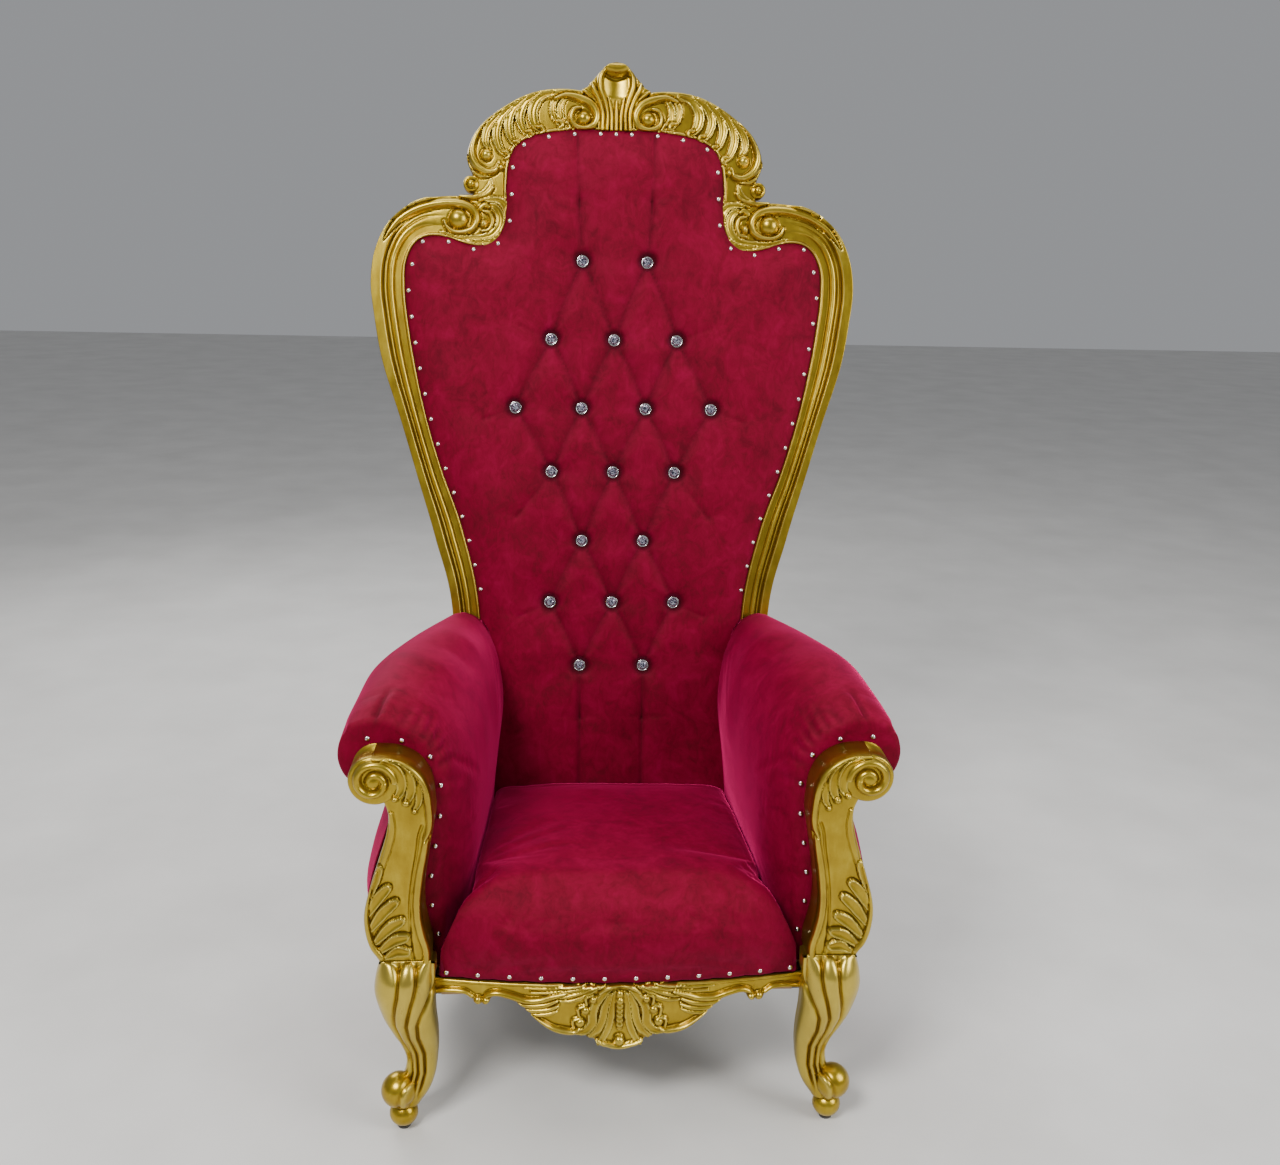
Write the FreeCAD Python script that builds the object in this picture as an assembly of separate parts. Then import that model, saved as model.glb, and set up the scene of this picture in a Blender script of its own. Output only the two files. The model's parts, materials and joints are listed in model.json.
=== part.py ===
import FreeCAD, Part
import math
import os

V = FreeCAD.Vector
os.makedirs("parts", exist_ok=True)

# A high-back upholstered throne armchair, in millimetres. It faces -Y, +X is to the right seen from the
# front and Z = 0 is the floor. Everything is built with Y = 0 on the line of the front legs, and moved back
# at the end so that the origin lies under the middle of the chair.
ORIGIN_Y = 345.66

# Back: a plane leaning back about the line (BACK_Y, BACK_Z). x runs across it, v up it and w behind it.
BACK_Y = 500.0
BACK_Z = 450.0
BACK_LEAN = 9.0
FRAME_DEPTH = 42.0
BOARD_THICK = 4.0
COVER_THICK = 3.0
PAD_EDGE_W = -4.0
PAD_FRONT_W = -22.0
PAD_REAR_W = 34.0
PAD_BOTTOM_V = -60.0

# Right half of the back frame: pairs of an outer and an inner edge point (x, v), from the bottom upwards.
STILE = [
    ((312, -175), (262, -175)),
    ((313, 60), (262, 60)),
    ((318, 312), (264, 308)),
    ((350, 453), (296, 470)),
    ((384, 574), (337, 590)),
    ((416, 687), (366, 692)),
    ((450, 800), (388, 800)),
    ((466, 898), (402, 898)),
    ((470, 954), (405, 945)),
]
SHOULDER = [
    ((470, 954), (405, 945)),
    ((461, 1010), (403, 985)),
    ((435, 1062), (388, 1020)),
    ((388, 1100), (364, 1036)),
    ((338, 1114), (326, 1036)),
    ((300, 1117), (280, 1022)),
    ((290, 1118), (240, 1030)),
    ((282, 1119), (217, 1055)),
    ((275, 1120), (211, 1090)),
]
CREST = [
    ((275, 1120), (211, 1090)),
    ((283, 1154), (209, 1140)),
    ((286, 1185), (204, 1180)),
    ((264, 1238), (190, 1210)),
    ((222, 1278), (160, 1228)),
    ((169, 1307), (130, 1235)),
    ((120, 1318), (95, 1240)),
    ((67, 1316), (60, 1243)),
]
FINIAL_TOP = [(67, 1316), (47, 1322), (31, 1345), (0, 1370), (-31, 1345), (-47, 1322), (-67, 1316)]
CREST_VOLUTE = (73, 1270, 24)
SHOULDER_VOLUTE = (308, 1077, 28)
SIDE_VOLUTE = (280, 1137, 11)

# Crystal buttons: (height up the back, distances from the middle).
BUTTON_ROWS = [
    (996, [63]),
    (846, [0, 123]),
    (713, [63, 193]),
    (588, [0, 122]),
    (451, [61]),
    (327, [0, 124]),
    (198, [64]),
]
BUTTON_RADIUS = 12.0
BUTTON_W = 0.0

# Seat: plan and heights.
SEAT_BASE = 280.0
PLATFORM_Z = 300.0
SEAT_FRONT_TOP = 442.0
SEAT_REAR_TOP = 408.0
SEAT_SIDE = [(292, -2), (252, 84), (232, 464)]
SEAT_ROUND = 46.0
RAIL_BOTTOM = 226.0
RAIL_TOP = 286.5
INNER_RAIL_Y = (26.5, 48.5)
REAR_RAIL_Y = (460.0, 486.0)

# Zigzag springs under the seat.
SPRING_X = (-190, -95, 0, 95, 190)
SPRING_FRONT_Y = 38.0
SPRING_RUNS = 25
SPRING_PITCH = 18.0
SPRING_HALF = 15.0
SPRING_WIRE = 1.8
SPRING_Z = RAIL_TOP + 3.5

# Front rail: its face bows forward from FRONT_RAIL_HALF to the middle.
FRONT_RAIL_HALF = 318.0
BOW_MIDDLE_Y = -34.0
BOW_END_Y = -4.0
FRONT_RAIL_THICK = 30.0
REBATE = 5.0

# Front legs and arm posts.
LEG_TOP = 326.0
GLIDE_THICK = 4.0
POST_FRONT_Y = -38.0
POST_REAR_Y = 20.0
SCROLL = (396, 657, 39)
REAR_JOINT_Z = 290.0

# Arms: padded sections from the inner bottom edge over the roll to its underside, then the hollow inside.
# Each section is (y, skin points, core points). The last one lies behind the back, which cuts the arm.
ARM_SECTIONS = [
    (20.5,
     [(299, 327), (301, 380), (309, 450), (298, 535), (289, 600), (292, 648), (312, 696), (350, 725),
      (396, 738), (436, 728), (456, 702), (462, 668), (450, 636), (425, 622)],
     [(376, 607), (330, 603), (348, 327)]),
    (80.0,
     [(273, 327), (262, 380), (254, 460), (250, 540), (252, 600), (262, 650), (288, 704), (325, 742),
      (372, 760), (414, 755), (444, 732), (458, 696), (450, 656), (424, 634)],
     [(385, 613), (340, 609), (336, 327)]),
    (250.0,
     [(247, 327), (247, 400), (242, 470), (232, 540), (231, 600), (238, 655), (262, 712), (300, 752),
      (352, 772), (400, 766), (436, 738), (450, 700), (440, 664), (404, 644)],
     [(379, 627), (334, 622), (302, 327)]),
    (400.0,
     [(238, 327), (240, 395), (234, 462), (222, 550), (221, 605), (227, 658), (248, 712), (280, 748),
      (324, 766), (368, 758), (400, 730), (410, 696), (398, 670), (366, 656)],
     [(346, 639), (302, 635), (272, 327)]),
    (560.0,
     [(232, 327), (233, 395), (226, 470), (215, 555), (214, 610), (220, 660), (238, 708), (262, 738),
      (292, 752), (320, 742), (338, 716), (342, 690), (336, 672), (316, 664)],
     [(301, 651), (258, 647), (240, 327)]),
]

# Outer side of the arm: places along Y, each with its distance out from the profile of the arm post, how
# much of that profile is left, the X it straightens to, and the height of its upper edge.
ARM_SIDE_PROFILE = [(398, 224), (399, 286), (400, 326), (414, 372), (419, 415), (407, 471), (391, 520),
                    (378, 562), (374, 604)]
ARM_SIDE_PLACES = [(20.5, 0, 1.0, 0, 604), (130.0, 12, 1.0, 0, 613), (300.0, 0, 0.4, 368, 627),
                   (440.0, 0, 0.1, 328, 638), (556.0, 0, 0.0, 302, 648)]

NAIL_RADIUS = 5.5
NAIL_PITCH = 53.0
NAIL_START = ((326, 356), (270, 352))


# ---------------------------------------------------------------- helpers

def edge_through(points):
    """A straight edge through two points, or a smooth one through more."""
    vectors = [V(*p) for p in points]
    if len(vectors) == 2:
        return Part.makeLine(vectors[0], vectors[1])
    spline = Part.BSplineCurve()
    spline.interpolate(vectors)
    return spline.toShape()


def slab(sides, y0, y1):
    """A solid from y0 to y1 with its outline in XZ; the sides meet end to end."""
    edges = [edge_through([(x, y0, z) for x, z in side]) for side in sides]
    return Part.Face(Part.Wire(edges)).extrude(V(0, y1 - y0, 0))


def plan_slab(points, z0, z1):
    """A solid from z0 to z1 with a straight-sided outline in XY."""
    corners = [V(x, y, z0) for x, y in points]
    wire = Part.makePolygon(corners + corners[:1])
    return Part.Face(wire).extrude(V(0, 0, z1 - z0))


def round_section(x, y, z, across, along):
    """An ellipse in the plane at height z, across wide each side in X and along deep each side in Y."""
    if across >= along:
        ellipse = Part.Ellipse(V(x + across, y, z), V(x, y + along, z), V(x, y, z))
    else:
        ellipse = Part.Ellipse(V(x, y + along, z), V(x - across, y, z), V(x, y, z))
    return Part.Wire([ellipse.toShape()])


def box_section(x, y, z, across, along):
    corners = [V(x + i * across, y + j * along, z) for i, j in ((-1, -1), (1, -1), (1, 1), (-1, 1))]
    return Part.makePolygon(corners + corners[:1])


def disc(x, z, y0, y1, radius):
    return Part.makeCylinder(radius, y1 - y0, V(x, y0, z), V(0, 1, 0))


def mirrored(shape):
    return shape.mirror(V(0, 0, 0), V(1, 0, 0))


def joined(shapes):
    return shapes[0].fuse(shapes[1:]).removeSplitter()


def group(shapes):
    return Part.makeCompound(shapes)


def without(shape, *tools):
    for tool in tools:
        shape = shape.cut(tool)
    return shape


def save(name, shape):
    shape = shape.copy()
    shape.translate(V(0, -ORIGIN_Y, 0))
    shape.exportStep("parts/" + name + ".step")


def save_pair(name, right_shape):
    save(name + "_right", right_shape)
    save(name + "_left", mirrored(right_shape))


def leaned(shape):
    """Moves a shape built with X across, Z up the back and Y behind it onto the leaning back."""
    shape = shape.copy()
    shape.rotate(V(0, 0, 0), V(1, 0, 0), -BACK_LEAN)
    shape.translate(V(0, BACK_Y, BACK_Z))
    return shape


def behind_back():
    """All the space behind the front face of the back frame."""
    return leaned(Part.makeBox(1200, 400, 1600, V(-600, 0, -400)))


def across(pair, share):
    """The point that lies share of the way from the outer to the inner edge point of a pair."""
    (xo, vo), (xi, vi) = pair
    return (xo + (xi - xo) * share, vo + (vi - vo) * share)


def band(pairs, share0, share1, w0, w1):
    """A strip of the frame between two shares of its width, not yet leaned."""
    outer = [across(p, share0) for p in pairs]
    inner = [across(p, share1) for p in reversed(pairs)]
    return slab([outer, [outer[-1], inner[0]], inner, [inner[-1], outer[0]]], w0, w1)


def opening(share, bottom_v, w0, w1):
    """A slab with the outline of the frame at one share of its width, closed across the bottom."""
    right = [[across(p, share) for p in pairs] for pairs in (STILE, SHOULDER, CREST)]
    foot = (right[0][0][0], bottom_v)
    right[0] = [foot] + [p for p in right[0] if p[1] > bottom_v + 40]
    left = [[(-x, v) for x, v in reversed(side)] for side in reversed(right)]
    top = [right[2][-1], left[0][0]]
    return slab(right + [top] + left + [[left[2][-1], foot]], w0, w1)


def spaced(points, pitch):
    """Points on a smooth line through the given ones, one pitch apart."""
    wire = Part.Wire([edge_through(points)])
    return wire.discretize(Number=max(2, round(wire.Length / pitch) + 1))


def nail(point, outward):
    """A domed upholstery nail whose head lies on the point, and the hole of its shank."""
    sphere = 6.5
    lift = math.sqrt(sphere ** 2 - NAIL_RADIUS ** 2)
    latitude = math.degrees(math.asin(lift / sphere))
    head = Part.makeSphere(sphere, point - outward * lift, outward, latitude, 90, 360)
    shank = Part.makeCylinder(0.8, 9.0, point, outward * -1)
    return head.fuse(shank), shank


def nails(points, outward):
    pairs = [nail(p, outward) for p in points]
    return group([p[0] for p in pairs]), group([p[1] for p in pairs])


# ---------------------------------------------------------------- legs and posts

def front_leg():
    """A cabriole leg: knee, ankle, a ball toe turned outwards and a ball pad."""
    sections = [
        (355, -14, LEG_TOP, 43, 42), (359, -18, 300, 48, 45), (360, -19, 270, 49, 45),
        (354, -16, 226, 44, 41), (346, -11, 191, 38, 36), (339, -6, 160, 31, 30),
        (336, -4, 130, 26, 26), (340, -6, 101, 26, 26), (350, -12, 72, 26, 25), (361, -18, 46, 20, 19),
    ]
    shaft = Part.makeLoft([round_section(*s) for s in sections], True)
    toe = Part.makeSphere(31, V(375, -27, 77))
    pad = Part.makeSphere(24.5, V(369, -21, 25))
    pad = pad.common(Part.makeBox(60, 60, 60, V(339, -51, GLIDE_THICK)))
    block = Part.makeBox(70, 44, LEG_TOP - RAIL_BOTTOM, V(FRONT_RAIL_HALF, -14, RAIL_BOTTOM))
    return joined([shaft, toe, pad, block])


def rear_leg():
    """A square leg that sweeps back to the floor."""
    sections = [
        (287, 496, REAR_JOINT_Z, 25, 22), (287, 504, 230, 25, 23), (288, 532, 150, 22, 21),
        (291, 572, 70, 20, 20), (294, 606, GLIDE_THICK, 21, 21),
    ]
    return Part.makeLoft([box_section(*s) for s in sections], True)


def arm_post():
    """The carved upright between the front leg and the arm, with a volute at its head."""
    inner = [(315, LEG_TOP), (315, 352), (325, 402), (325, 456), (315, 522), (304, 586), (308, 638),
             (328, 676), (362, 695), (396, 696)]
    outer = [(396, 618), (381, 611), (375, 592), (379, 562), (392, 520), (408, 471), (420, 415),
             (415, 372), (396, LEG_TOP)]
    body = slab([inner, [inner[-1], outer[0]], outer, [outer[-1], inner[0]]], POST_FRONT_Y, POST_REAR_Y)
    x, z, radius = SCROLL
    scroll = disc(x, z, POST_FRONT_Y, POST_REAR_Y, radius)
    inner_turn = disc(x - 2, z - 2, POST_FRONT_Y - 8, POST_FRONT_Y + 4, radius - 14)
    return joined([body, scroll, inner_turn])


# ---------------------------------------------------------------- seat frame

def bow_ring(back0, back1, z0, z1, half=FRONT_RAIL_HALF):
    """A bowed wall that follows the front rail's face, from back0 to back1 behind it, half long each side."""
    rise = BOW_END_Y - BOW_MIDDLE_Y
    radius = (FRONT_RAIL_HALF ** 2 + rise ** 2) / (2 * rise)
    centre = V(0, BOW_MIDDLE_Y + radius, z0)
    outer = Part.makeCylinder(radius - back0, z1 - z0, centre)
    ring = outer.cut(Part.makeCylinder(radius - back1, z1 - z0, centre))
    return ring.common(Part.makeBox(2 * half, 120, z1 - z0, V(-half, -60, z0)))


def front_rail():
    """The serpentine apron with its curls and shell, and the rebate above it for the seat cover."""
    half = FRONT_RAIL_HALF
    lower = [(half, 243), (296, 251), (260, 256), (240, 238), (224, 238), (208, 254), (168, 240), (120, 192),
             (84, 173), (44, 168), (22, 163), (0, 155)]
    lower_left = [(-x, z) for x, z in reversed(lower)]
    sides = [lower, lower_left, [lower_left[-1], (-half, SEAT_BASE)], [(-half, SEAT_BASE), (half, SEAT_BASE)],
             [(half, SEAT_BASE), lower[0]]]
    apron = slab(sides, -60, 60).common(bow_ring(0, FRONT_RAIL_THICK, 150, SEAT_BASE))
    rebate = bow_ring(REBATE, FRONT_RAIL_THICK, SEAT_BASE, SEAT_BASE + 32, half=SEAT_SIDE[0][0] - 6)
    shell = disc(0, 220, BOW_MIDDLE_Y - 10, BOW_MIDDLE_Y + 4, 46)
    curls = [disc(x, 244, BOW_END_Y - 21, BOW_END_Y - 4, 9) for x in (-240, -221, 221, 240)]
    return joined([apron, rebate, shell] + curls)


def side_rail():
    """The side of the seat frame: straight inside, bowed outside where the arm's outer cover is tacked."""
    bow = [(396, 30.5), (410, 130), (377, 300), (333, 440), (323, 473)]
    plan = [(360, 30.5)] + bow + [(285, 473)]
    return plan_slab(plan, RAIL_BOTTOM, LEG_TOP)


def inner_rail():
    """The straight rail behind the carved one, which takes the springs."""
    y0, y1 = INNER_RAIL_Y
    return Part.makeBox(610, y1 - y0, RAIL_TOP - RAIL_BOTTOM, V(-305, y0, RAIL_BOTTOM))


def rear_rail():
    y0, y1 = REAR_RAIL_Y
    return Part.makeBox(523, y1 - y0, RAIL_TOP - RAIL_BOTTOM, V(-261.5, y0, RAIL_BOTTOM))


def corner_blocks():
    """Triangular blocks glued and screwed into the corners of the seat frame."""
    front = plan_slab([(260, 49), (356, 49), (347.5, 100)], 232, 280)
    rear = plan_slab([(200, 459.5), (287, 459.5), (295.5, 408)], 232, 280)
    return [front, rear, mirrored(front), mirrored(rear)]


def seat_block(inset, base):
    """The seat cushion drawn in by inset: a bowed front, a top that falls to the rear, a round edge."""
    side = [(x - inset, y) for x, y in SEAT_SIDE]
    side[0] = (side[0][0], side[0][1] + inset)
    side[-1] = (side[-1][0], side[-1][1] - inset)
    right = [V(x, y, base) for x, y in side]
    left = [V(-x, y, base) for x, y in reversed(side)]
    bow = Part.Arc(left[-1], V(0, BOW_MIDDLE_Y + 1.5 + inset, base), right[0]).toShape()
    lines = [Part.makeLine(a, b) for chain in (right, left) for a, b in zip(chain, chain[1:])]
    rear = Part.makeLine(right[-1], left[0])
    plan = Part.Wire([bow] + lines[:2] + [rear] + lines[2:])
    block = Part.Face(plan).extrude(V(0, 0, 200))
    length = SEAT_SIDE[-1][1] - BOW_MIDDLE_Y
    fall = math.degrees(math.atan2(SEAT_FRONT_TOP - SEAT_REAR_TOP, length))
    above = Part.makeBox(1200, 1200, 400, V(-600, -200, 0))
    above.rotate(V(0, 0, 0), V(1, 0, 0), -fall)
    above.translate(V(0, BOW_MIDDLE_Y, SEAT_FRONT_TOP - inset))
    block = block.cut(above)
    high = [e for e in block.Edges if e.BoundBox.ZMin > base + 60]
    front_edge = [e for e in high if e.BoundBox.YMax < 10 and e.Length > 400]
    return block.makeFillet(SEAT_ROUND - inset, front_edge)


def seat_springs():
    """Five zigzag springs from the front rail to the rear rail: straight runs joined by half turns."""
    springs = []
    for x in SPRING_X:
        edges = []
        for turn in range(SPRING_RUNS):
            side = 1 if turn % 2 == 0 else -1
            y = SPRING_FRONT_Y + turn * SPRING_PITCH
            near = V(x - side * SPRING_HALF, y, SPRING_Z)
            far = V(x + side * SPRING_HALF, y, SPRING_Z)
            edges.append(Part.makeLine(near, far))
            if turn < SPRING_RUNS - 1:
                top = far + V(side * SPRING_PITCH / 2, SPRING_PITCH / 2, 0)
                edges.append(Part.Arc(far, top, far + V(0, SPRING_PITCH, 0)).toShape())
        start = V(x - SPRING_HALF, SPRING_FRONT_Y, SPRING_Z)
        circle = Part.Wire([Part.Circle(start, V(1, 0, 0), SPRING_WIRE).toShape()])
        springs.append(Part.Wire(edges).makePipeShell([circle], True, False))
    return springs


def spring_clips():
    """A small folded clip holds each end of each spring on its rail."""
    rear_y = SPRING_FRONT_Y + (SPRING_RUNS - 1) * SPRING_PITCH
    ends = [V(x - 7, y - 5, SPRING_Z - 3.5) for x in SPRING_X for y in (SPRING_FRONT_Y, rear_y)]
    return [Part.makeBox(14, 10, 7, end) for end in ends]


# ---------------------------------------------------------------- back

def back_pad(skin):
    """The back cushion: a thin edge and a raised middle, with a skin added on the front."""
    edge = opening(1.012, PAD_BOTTOM_V, PAD_EDGE_W - skin, PAD_REAR_W)
    middle = opening(1.5 - skin / 60, PAD_BOTTOM_V, PAD_FRONT_W - skin, 0)
    return edge.fuse(middle)


def button_places():
    places = []
    for v, distances in BUTTON_ROWS:
        for x in distances:
            places.append((x, v))
            if x:
                places.append((-x, v))
    return places


def button_pockets():
    """The dimple and the twine hole of every button."""
    tools = []
    for x, v in button_places():
        tools.append(disc(x, v, PAD_FRONT_W - 10, BUTTON_W, BUTTON_RADIUS + 4))
        tools.append(disc(x, v, BUTTON_W, PAD_REAR_W, 1.5))
    return group(tools)


def crystal(x, v):
    """A faceted crystal: an eight-sided crown that narrows to a flat table."""
    def ring(radius, w):
        corners = [V(x + radius * math.cos(a), w, v + radius * math.sin(a)) for a in angles]
        return Part.makePolygon(corners + corners[:1])
    angles = [math.pi / 4 * i for i in range(8)]
    rings = [ring(9.5, BUTTON_W - 3), ring(9.5, BUTTON_W - 5), ring(5.5, BUTTON_W - 9)]
    return Part.makeLoft(rings, True, True)


def button_rim(x, v):
    """The metal cup that holds the crystal, on the post that the twine ties to the back board."""
    cup = disc(x, v, BUTTON_W - 5, BUTTON_W, BUTTON_RADIUS)
    cup = cup.cut(disc(x, v, BUTTON_W - 5, BUTTON_W - 3, BUTTON_RADIUS - 1.8))
    return cup.fuse(disc(x, v, BUTTON_W, PAD_REAR_W, 1.5))


def frame_part(pairs):
    """A length of the back frame: the plain body and the rolls along its outer and inner edges."""
    body = band(pairs, 0, 1, 6, FRAME_DEPTH)
    rolls = [band(pairs, a, b, w, 6) for a, b, w in ((0.0, 0.36, 0), (0.42, 0.72, 2), (0.78, 1.0, 0))]
    return joined([body] + rolls)


def carved_part(pairs, volutes):
    """A length of the back frame with carved ends, shown as a raised field and round volutes."""
    body = band(pairs, 0, 1, 0, FRAME_DEPTH)
    roll = band(pairs, 0.0, 0.2, -8, 0)
    bosses = [disc(x, v, -14, 1, r) for x, v, r in volutes]
    eyes = [disc(x, v, -19, -13, r * 0.35) for x, v, r in volutes]
    return joined([body, roll] + bosses + eyes)


def crest_finial():
    foot = [(-60, 1243), (60, 1243)]
    body = slab([FINIAL_TOP, [(-67, 1316), (-60, 1243)], foot, [(60, 1243), (67, 1316)]], 0, FRAME_DEPTH)
    plume_side = [(24, 1250), (27, 1300), (14, 1358)]
    plume = slab([plume_side, [(14, 1358), (-14, 1358)], [(-x, v) for x, v in reversed(plume_side)],
                  [(-24, 1250), (24, 1250)]], -14, 0)
    return joined([body, plume])


def frame_dowels():
    """Dowels across the joints of the back frame."""
    joints = [(437, 949, 0.2), (243, 1105, -1.1), (64, 1280, 1.5)]
    dowels = []
    for x, v, turn in joints:
        along = V(math.sin(turn), 0, math.cos(turn))
        dowel = Part.makeCylinder(5, 50, V(x, 26, v) - along * 25, along)
        dowels += [dowel, mirrored(dowel)]
    return group(dowels)


def inner_edge_nails():
    """Nails along the edge of the back cover, just inside the frame."""
    share = 1.12
    above_arm = [NAIL_START] + STILE[3:]
    right = [across(p, share) for pairs in (above_arm, SHOULDER[1:], CREST[1:]) for p in pairs]
    row = spaced([(x, PAD_EDGE_W - COVER_THICK, v) for x, v in right], NAIL_PITCH)
    middle = [V(0, PAD_EDGE_W - COVER_THICK, row[-1].z)]
    left = [V(-p.x, p.y, p.z) for p in row]
    return nails(row + middle + left, V(0, -1, 0))


# ---------------------------------------------------------------- arms

def drawn_in(points, distance):
    """Moves each point of an open line to its right by distance."""
    moved = []
    for i, (x, z) in enumerate(points):
        x0, z0 = points[max(i - 1, 0)]
        x1, z1 = points[min(i + 1, len(points) - 1)]
        length = math.hypot(x1 - x0, z1 - z0)
        moved.append((x + (z1 - z0) / length * distance, z - (x1 - x0) / length * distance))
    return moved


def arm_section(y, points, core):
    skin = [(x, y, z) for x, z in points]
    inside = [(x, y, z) for x, z in core]
    corners = [skin[-1]] + inside + [skin[0]]
    lines = [edge_through([a, b]) for a, b in zip(corners, corners[1:])]
    return Part.Wire([edge_through(skin)] + lines)


def arm_loft(inset, hollow):
    """The arm's padding before it is cut to the back: drawn in by inset, its inside drawn back by hollow."""
    rings = []
    for k, (y, points, core) in enumerate(ARM_SECTIONS):
        (x0, z0), (x1, z1), (x2, z2) = core
        inside = [(x0, z0 - hollow), (x1 + hollow, z1 - hollow), (x2 + hollow, z2)]
        rings.append(arm_section(y + (inset if k == 0 else 0), drawn_in(points, inset), inside))
    return Part.makeLoft(rings, True, True)


def arm_body(inset):
    """The padded arm: an inner wall and a roll on top, as far as the back."""
    return without(arm_loft(inset, 0), behind_back(), leaned(back_pad(COVER_THICK)))


def arm_side(place):
    """The line of the arm's outer side at one place along Y, from the bottom upwards."""
    y, out, share, straight, top = place
    low = ARM_SIDE_PROFILE[0][1]
    high = ARM_SIDE_PROFILE[-1][1]
    line = []
    for x, z in ARM_SIDE_PROFILE:
        line.append((x * share + straight * (1 - share) + out, low + (z - low) * (top - low) / (high - low)))
    return line


def box_wire(x0, x1, y, z0, z1):
    corners = [V(x0, y, z0), V(x1, y, z0), V(x1, y, z1), V(x0, y, z1)]
    return Part.makePolygon(corners + corners[:1])


def arm_rail():
    """The bowed rail under the arm's roll, from the arm post to the stile."""
    rings = []
    for place in ARM_SIDE_PLACES:
        x, top = arm_side(place)[-1]
        rings.append(box_wire(x - 40.5, x - 0.5, place[0], top - 26, top - 3))
    return without(Part.makeLoft(rings, True, True), behind_back(), leaned(back_pad(COVER_THICK)))


def arm_liner_rail():
    """The lower rail that the inner side of the arm is tacked to."""
    ends = [box_wire(353, 397, ARM_SECTIONS[0][0], 328, 368), box_wire(252, 296, 530, 328, 368)]
    return without(Part.makeLoft(ends, True, True), behind_back(), leaned(back_pad(COVER_THICK)))


def outer_arm_panel():
    """The outer side of the arm, which follows the post at the front and is straight at the stile."""
    rings = []
    for place in ARM_SIDE_PLACES:
        line = arm_side(place)
        loop = line + [(x + COVER_THICK, z) for x, z in reversed(line)]
        corners = [V(x, place[0], z) for x, z in loop]
        rings.append(Part.makePolygon(corners + corners[:1]))
    return Part.makeLoft(rings, True, True).cut(behind_back())


def arm_nails():
    """Nails in the arm cover along the edge of the arm post."""
    line = [(412, 706), (370, 707), (322, 688), (297, 648), (296, 588), (306, 528), (316, 460),
            (316, 400), (307, 348)]
    row = spaced([(x, ARM_SECTIONS[0][0], z) for x, z in line], NAIL_PITCH + 3)
    return nails(row, V(0, -1, 0))


def seat_nails():
    """Nails along the lower edge of the seat cover, above the front rail."""
    count = 12
    rise = BOW_END_Y - BOW_MIDDLE_Y
    radius = (FRONT_RAIL_HALF ** 2 + rise ** 2) / (2 * rise)
    points = []
    for i in range(count):
        x = -292 + 584 * i / (count - 1)
        y = BOW_MIDDLE_Y + radius - math.sqrt(radius ** 2 - x ** 2) + 1.5
        points.append(V(x, y, SEAT_BASE + 11))
    return nails(points, V(0, -1, 0))


# ---------------------------------------------------------------- assembly

def build_wood():
    """The show frame and the hidden frame, with holes for their fasteners."""
    leg = front_leg()
    post = arm_post()
    dowels = group([Part.makeCylinder(6, 60, V(x, 2, LEG_TOP - 30)) for x in (342, 372)])
    save_pair("front_leg", leg.cut(dowels))
    save_pair("arm_post", post.cut(dowels))
    save("leg_dowels", group([dowels, mirrored(dowels)]))

    floor_cut = Part.makeBox(1200, 400, 600, V(-600, 300, REAR_JOINT_Z - 600))
    bolts = group([Part.makeCylinder(5, 84, V(x, 495, REAR_JOINT_Z - 42)) for x in (276, 298)])
    lean_pad = Part.makeBox(1200, 400, 1600, V(-600, 300, REAR_JOINT_Z))
    stile = leaned(frame_part(STILE)).common(lean_pad)
    joint_dowels = frame_dowels()
    lean_dowels = leaned(joint_dowels)
    save_pair("rear_leg", without(rear_leg(), bolts).common(floor_cut))
    save_pair("stile", without(stile, bolts, lean_dowels))
    save("back_bolts", group([bolts, mirrored(bolts)]))
    save_pair("shoulder", leaned(carved_part(SHOULDER, [SHOULDER_VOLUTE])).cut(lean_dowels))
    crest = carved_part(CREST, [CREST_VOLUTE, SIDE_VOLUTE])
    save_pair("crest_rail", leaned(crest).cut(lean_dowels))
    finial = without(crest_finial(), crest, mirrored(crest))
    save("crest_finial", leaned(finial).cut(lean_dowels))
    save("crest_dowels", lean_dowels)
    save("back_board", leaned(opening(0.5, -150, FRAME_DEPTH, FRAME_DEPTH + BOARD_THICK)))
    cross = leaned(Part.makeBox(523, 34, 56, V(-261.5, 0, PAD_BOTTOM_V - 60)))
    save("back_cross_rail", cross)


def build_seat():
    blocks = corner_blocks()
    holes = group([Part.makeCylinder(2.5, 34, V(x, y, 256), V(dx, dy, 0)) for x, y, dx, dy in (
        (334, 66, 1, 0), (300, 68, 0, -1), (276, 440, 1, 0), (240, 450, 0, 1))])
    screws = group([holes, mirrored(holes)])
    heads, shanks = seat_nails()
    leg = front_leg()
    rail = without(front_rail(), leg, mirrored(leg))
    side = side_rail()
    save("front_rail", without(rail, shanks))
    save("inner_rail", inner_rail().cut(screws))
    save("side_rail_right", side.cut(screws))
    save("side_rail_left", mirrored(side).cut(screws))
    save("rear_rail", rear_rail().cut(screws))
    save("corner_blocks", group([b.cut(screws) for b in blocks]))
    save("block_screws", screws)
    springs = group(seat_springs())
    save("seat_springs", springs)
    save("spring_clips", group([c.cut(springs) for c in spring_clips()]))

    platform = plan_slab([(-296, 30), (296, 30), (222, 470), (-222, 470)], PLATFORM_Z - 2, PLATFORM_Z)
    save("spring_cover", platform.cut(rail))
    pad = leaned(back_pad(COVER_THICK))
    hollow = seat_block(COVER_THICK, SEAT_BASE)
    save("seat_foam", without(seat_block(COVER_THICK, PLATFORM_Z), rail, pad, shanks))
    inside = [hollow, platform, rail, inner_rail(), rear_rail(), springs, pad, shanks]
    save("seat_cover", without(seat_block(0, SEAT_BASE), *inside))
    save("seat_nails", heads)
    dust = plan_slab([(-372, 32), (372, 32), (298, 484), (-298, 484)], RAIL_BOTTOM - 1.5, RAIL_BOTTOM)
    leg = rear_leg()
    save("dust_cover", without(dust, leg, mirrored(leg)))


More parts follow.
